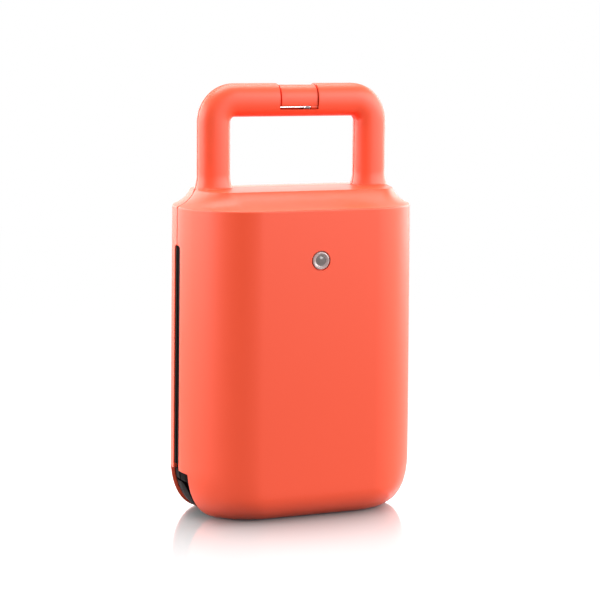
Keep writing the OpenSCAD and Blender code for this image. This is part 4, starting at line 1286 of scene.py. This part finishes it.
class COOKER_OT_lamp(bpy.types.Operator):
    """Builds the lens of the indicator lamp with its stepped rim and domed middle"""

    bl_idname = "cooker.lamp"
    bl_label = "Lamp"

    def execute(self, context):
        face = -settings().shell.depth
        middle = (LENS_LOW + LENS_HIGH) / 2
        rows = []
        for radius, rise in [(4.5, (face - LENS_HIGH.y) / MM)] + LENS_SECTION:
            ring_r, y = radius * MM, face - rise * MM
            rows.append([
                Vector((middle.x + ring_r * cos(q), y, middle.z + ring_r * sin(q)))
                for q in circle_angles(64)
            ])
        lens = solid_of_rows("lamp_window", rows)
        finish_piece(lens, "lid", "Smoky lens", "lamp_lens", angle=50)
        # The middle of the lens is painted darker: painted shade of the lamp's unlit inside.
        lens.data.materials.append(finish("Lens middle painted dark"))
        for polygon in lens.data.polygons:
            gap = polygon.center - middle
            if hypot(gap.x, gap.z) < LENS_INNER:
                polygon.material_index = 1
        return {"FINISHED"}


# The solids that are shown as they are, by their material.
SHOWN = {
    "Black moulding": ["base_frame", "lid_frame"],
    "Soft rubber": ["cord_gland"],
    "Annealed sheath": ["base_element", "lid_element"],
    "Bright sheet": ["base_element_clips", "lid_element_clips", "base_reflector", "lid_reflector",
                     "thermostat_bracket", "lamp_clip"],
    "Ground steel": ["hinge_pins", "latch_pin"],
    "Brass": ["terminal_screws"],
    "Satin aluminium": ["rating_plate"],
    "Cream insulator": ["cord_clamp", "terminal_block"],
    "White ceramic": ["thermostat", "thermal_fuse"],
    "Neon lamp": ["lamp_bulb"],
}


class COOKER_OT_finishes(bpy.types.Operator):
    """Gives each solid that is shown as it is its own finish"""

    bl_idname = "cooker.finishes"
    bl_label = "Finishes"

    def execute(self, context):
        for look, names in SHOWN.items():
            for obj in (NODES[name] for name in names):
                if not obj.material_slots:
                    obj.data.materials.append(finish(look))
                for holder in obj.material_slots:
                    holder.material = finish(look)
        return {"FINISHED"}


# ---- Stage ----
CAMERA_PLACE = Vector((-0.4435, -1.0503, 0.2783))
CAMERA_AIM = Vector((0.0047, -0.0020, 0.1200))
CAMERA_ROLL = 0.473
CAMERA_LENS = 119.95
FOOTPRINT = (0.054, 0.028, 0.0)
AMBIENT = 0.5
WHITE = (1, 1, 1, 1)
FLAG = (Vector((-0.78, -1.45, 0.35)), Vector((-0.80, -1.50, 0.35)))
FLAG_R = 0.5
FLOOR_R = 6

# Lamps: place, height of the aim over the floor, width and height, power.
LAMPS = {
    "Right": ((1.15, -0.96, 0.62), 0.12, (1.9, 0.95), 36),
    "Right back": ((1.43, 0.46, 0.5), 0.12, (1.3, 1.0), 22),
    "Left": ((-1.48, 0.21, 0.55), 0.12, (1.4, 0.95), 30),
    "Left back": ((-0.75, 1.30, 0.5), 0.12, (1.3, 1.0), 18),
    "Back": ((0.6, 1.6, 0.4), 0.15, (1.4, 0.8), 7),
    "Top": ((0.0, 0.25, 1.1), 0.1, (0.9, 0.7), 14),
}


def facing(place, aim):
    """Rotation of a lamp or camera that looks from a place at an aim."""
    return (Vector(aim) - Vector(place)).to_track_quat("-Z", "Y")


def add_lamp(name, place, aim_z, size, power):
    data = bpy.data.lights.new(name, "AREA")
    data.shape = "RECTANGLE"
    data.size, data.size_y = size
    data.energy = power
    lamp = new_object(name, data)
    lamp.location = place
    lamp.rotation_euler = facing(place, (0, 0, aim_z)).to_euler()


def seen_by_camera(tree):
    """1 for a ray from the camera, straight, mirrored or through glass, and 0 for the others."""
    path = tree.node("ShaderNodeLightPath").outputs
    straight = tree.maths("MAXIMUM", path["Is Camera Ray"], path["Is Glossy Ray"])
    return tree.maths("MAXIMUM", straight, path["Is Transmission Ray"])


def white_world():
    world = bpy.data.worlds.new("Studio")
    bpy.context.scene.world = world
    tree = blank_tree(world)
    strength = tree.maths("MULTIPLY_ADD", seen_by_camera(tree), 1.0 - AMBIENT, AMBIENT)
    back = tree.add("ShaderNodeBackground", Color=WHITE, Strength=strength)
    tree.node("ShaderNodeOutputWorld", Surface=back)


def floor_shader(tree):
    """White gloss floor: it mirrors the cooker beside its foot and fades into plain white."""
    place = tree.node("ShaderNodeTexCoord").outputs["Object"]
    outside = tree.vectors("SUBTRACT", tree.vectors("ABSOLUTE", place), FOOTPRINT)
    clear = tree.vectors("MAXIMUM", outside)
    away = tree.node("ShaderNodeVectorMath", clear, operation="LENGTH").outputs["Value"]

    def fading(strength, reach, far, near):
        share = tree.maths("POWER", math.e, tree.times(away, -1 / reach))
        return tree.add("ShaderNodeMixShader", tree.times(share, strength), far, near)

    def matt(grey):
        return tree.add("ShaderNodeBsdfDiffuse", Color=(grey, grey, grey, 1))

    white = tree.add("ShaderNodeEmission", Color=WHITE, Strength=1.0)
    gloss = tree.add("ShaderNodeBsdfGlossy", Color=WHITE, Roughness=0.1)
    lit = fading(0.95, 0.14, white, matt(0.6))
    seen = fading(0.6, 0.06, lit, gloss)
    return tree.add("ShaderNodeMixShader", seen_by_camera(tree), matt(0.08), seen)


def cloth_shader(tree):
    return tree.add("ShaderNodeBsdfPrincipled", Base_Color=(0.02, 0.02, 0.02, 1), Roughness=0.9)


class COOKER_OT_stage(bpy.types.Operator):
    """Builds the floor, the lamps, the world and the camera"""

    bl_idname = "cooker.stage"
    bl_label = "Stage"

    def execute(self, context):
        scene = context.scene
        scene.view_settings.view_transform = "Standard"
        white_world()
        bm = bmesh.new()
        bmesh.ops.create_circle(bm, cap_ends=True, segments=96, radius=FLOOR_R)
        floor = from_bmesh("floor", bm)
        dress(floor, painted("White floor", floor_shader))
        for name, values in LAMPS.items():
            add_lamp(name, *values)
        # A round cloth beside the camera darkens what the front face mirrors.
        flag = rod("flag", *FLAG, FLAG_R, 64)
        dress(flag, painted("Black cloth", cloth_shader))
        flag.visible_camera = False
        data = bpy.data.cameras.new("Camera")
        data.lens = CAMERA_LENS
        data.sensor_width = 36
        camera = new_object("Camera", data)
        camera.location = CAMERA_PLACE
        roll = Matrix.Rotation(radians(CAMERA_ROLL), 3, "Z")
        turn = facing(CAMERA_PLACE, CAMERA_AIM).to_matrix()
        camera.rotation_euler = (turn @ roll).to_euler()
        scene.camera = camera
        return {"FINISHED"}


OPERATORS = (
    COOKER_OT_shells, COOKER_OT_latch, COOKER_OT_spring, COOKER_OT_lamp, COOKER_OT_plates,
    COOKER_OT_leads, COOKER_OT_screws, COOKER_OT_feet, COOKER_OT_finishes, COOKER_OT_stage,
)


class COOKER_PT_panel(bpy.types.Panel):
    """Lists the cooker's pieces in the sidebar"""

    bl_idname = "COOKER_PT_panel"
    bl_label = "Cooker"
    bl_space_type = "VIEW_3D"
    bl_region_type = "UI"
    bl_category = "Cooker"

    def draw(self, context):
        for operator in OPERATORS:
            self.layout.operator(operator.bl_idname)


CLASSES = (
    CookerShellSizes, CookerHandleSizes, CookerLatchSizes, CookerColours, CookerSettings,
    *OPERATORS, COOKER_PT_panel,
)


def register():
    for cls in CLASSES:
        bpy.utils.register_class(cls)
    bpy.types.Scene.cooker = PointerProperty(type=CookerSettings)


def unregister():
    del bpy.types.Scene.cooker
    for cls in reversed(CLASSES):
        bpy.utils.unregister_class(cls)


def main():
    register()
    for operator in OPERATORS:
        group_name, name = operator.bl_idname.split(".")
        getattr(getattr(bpy.ops, group_name), name)()


if __name__ == "__main__":
    main()
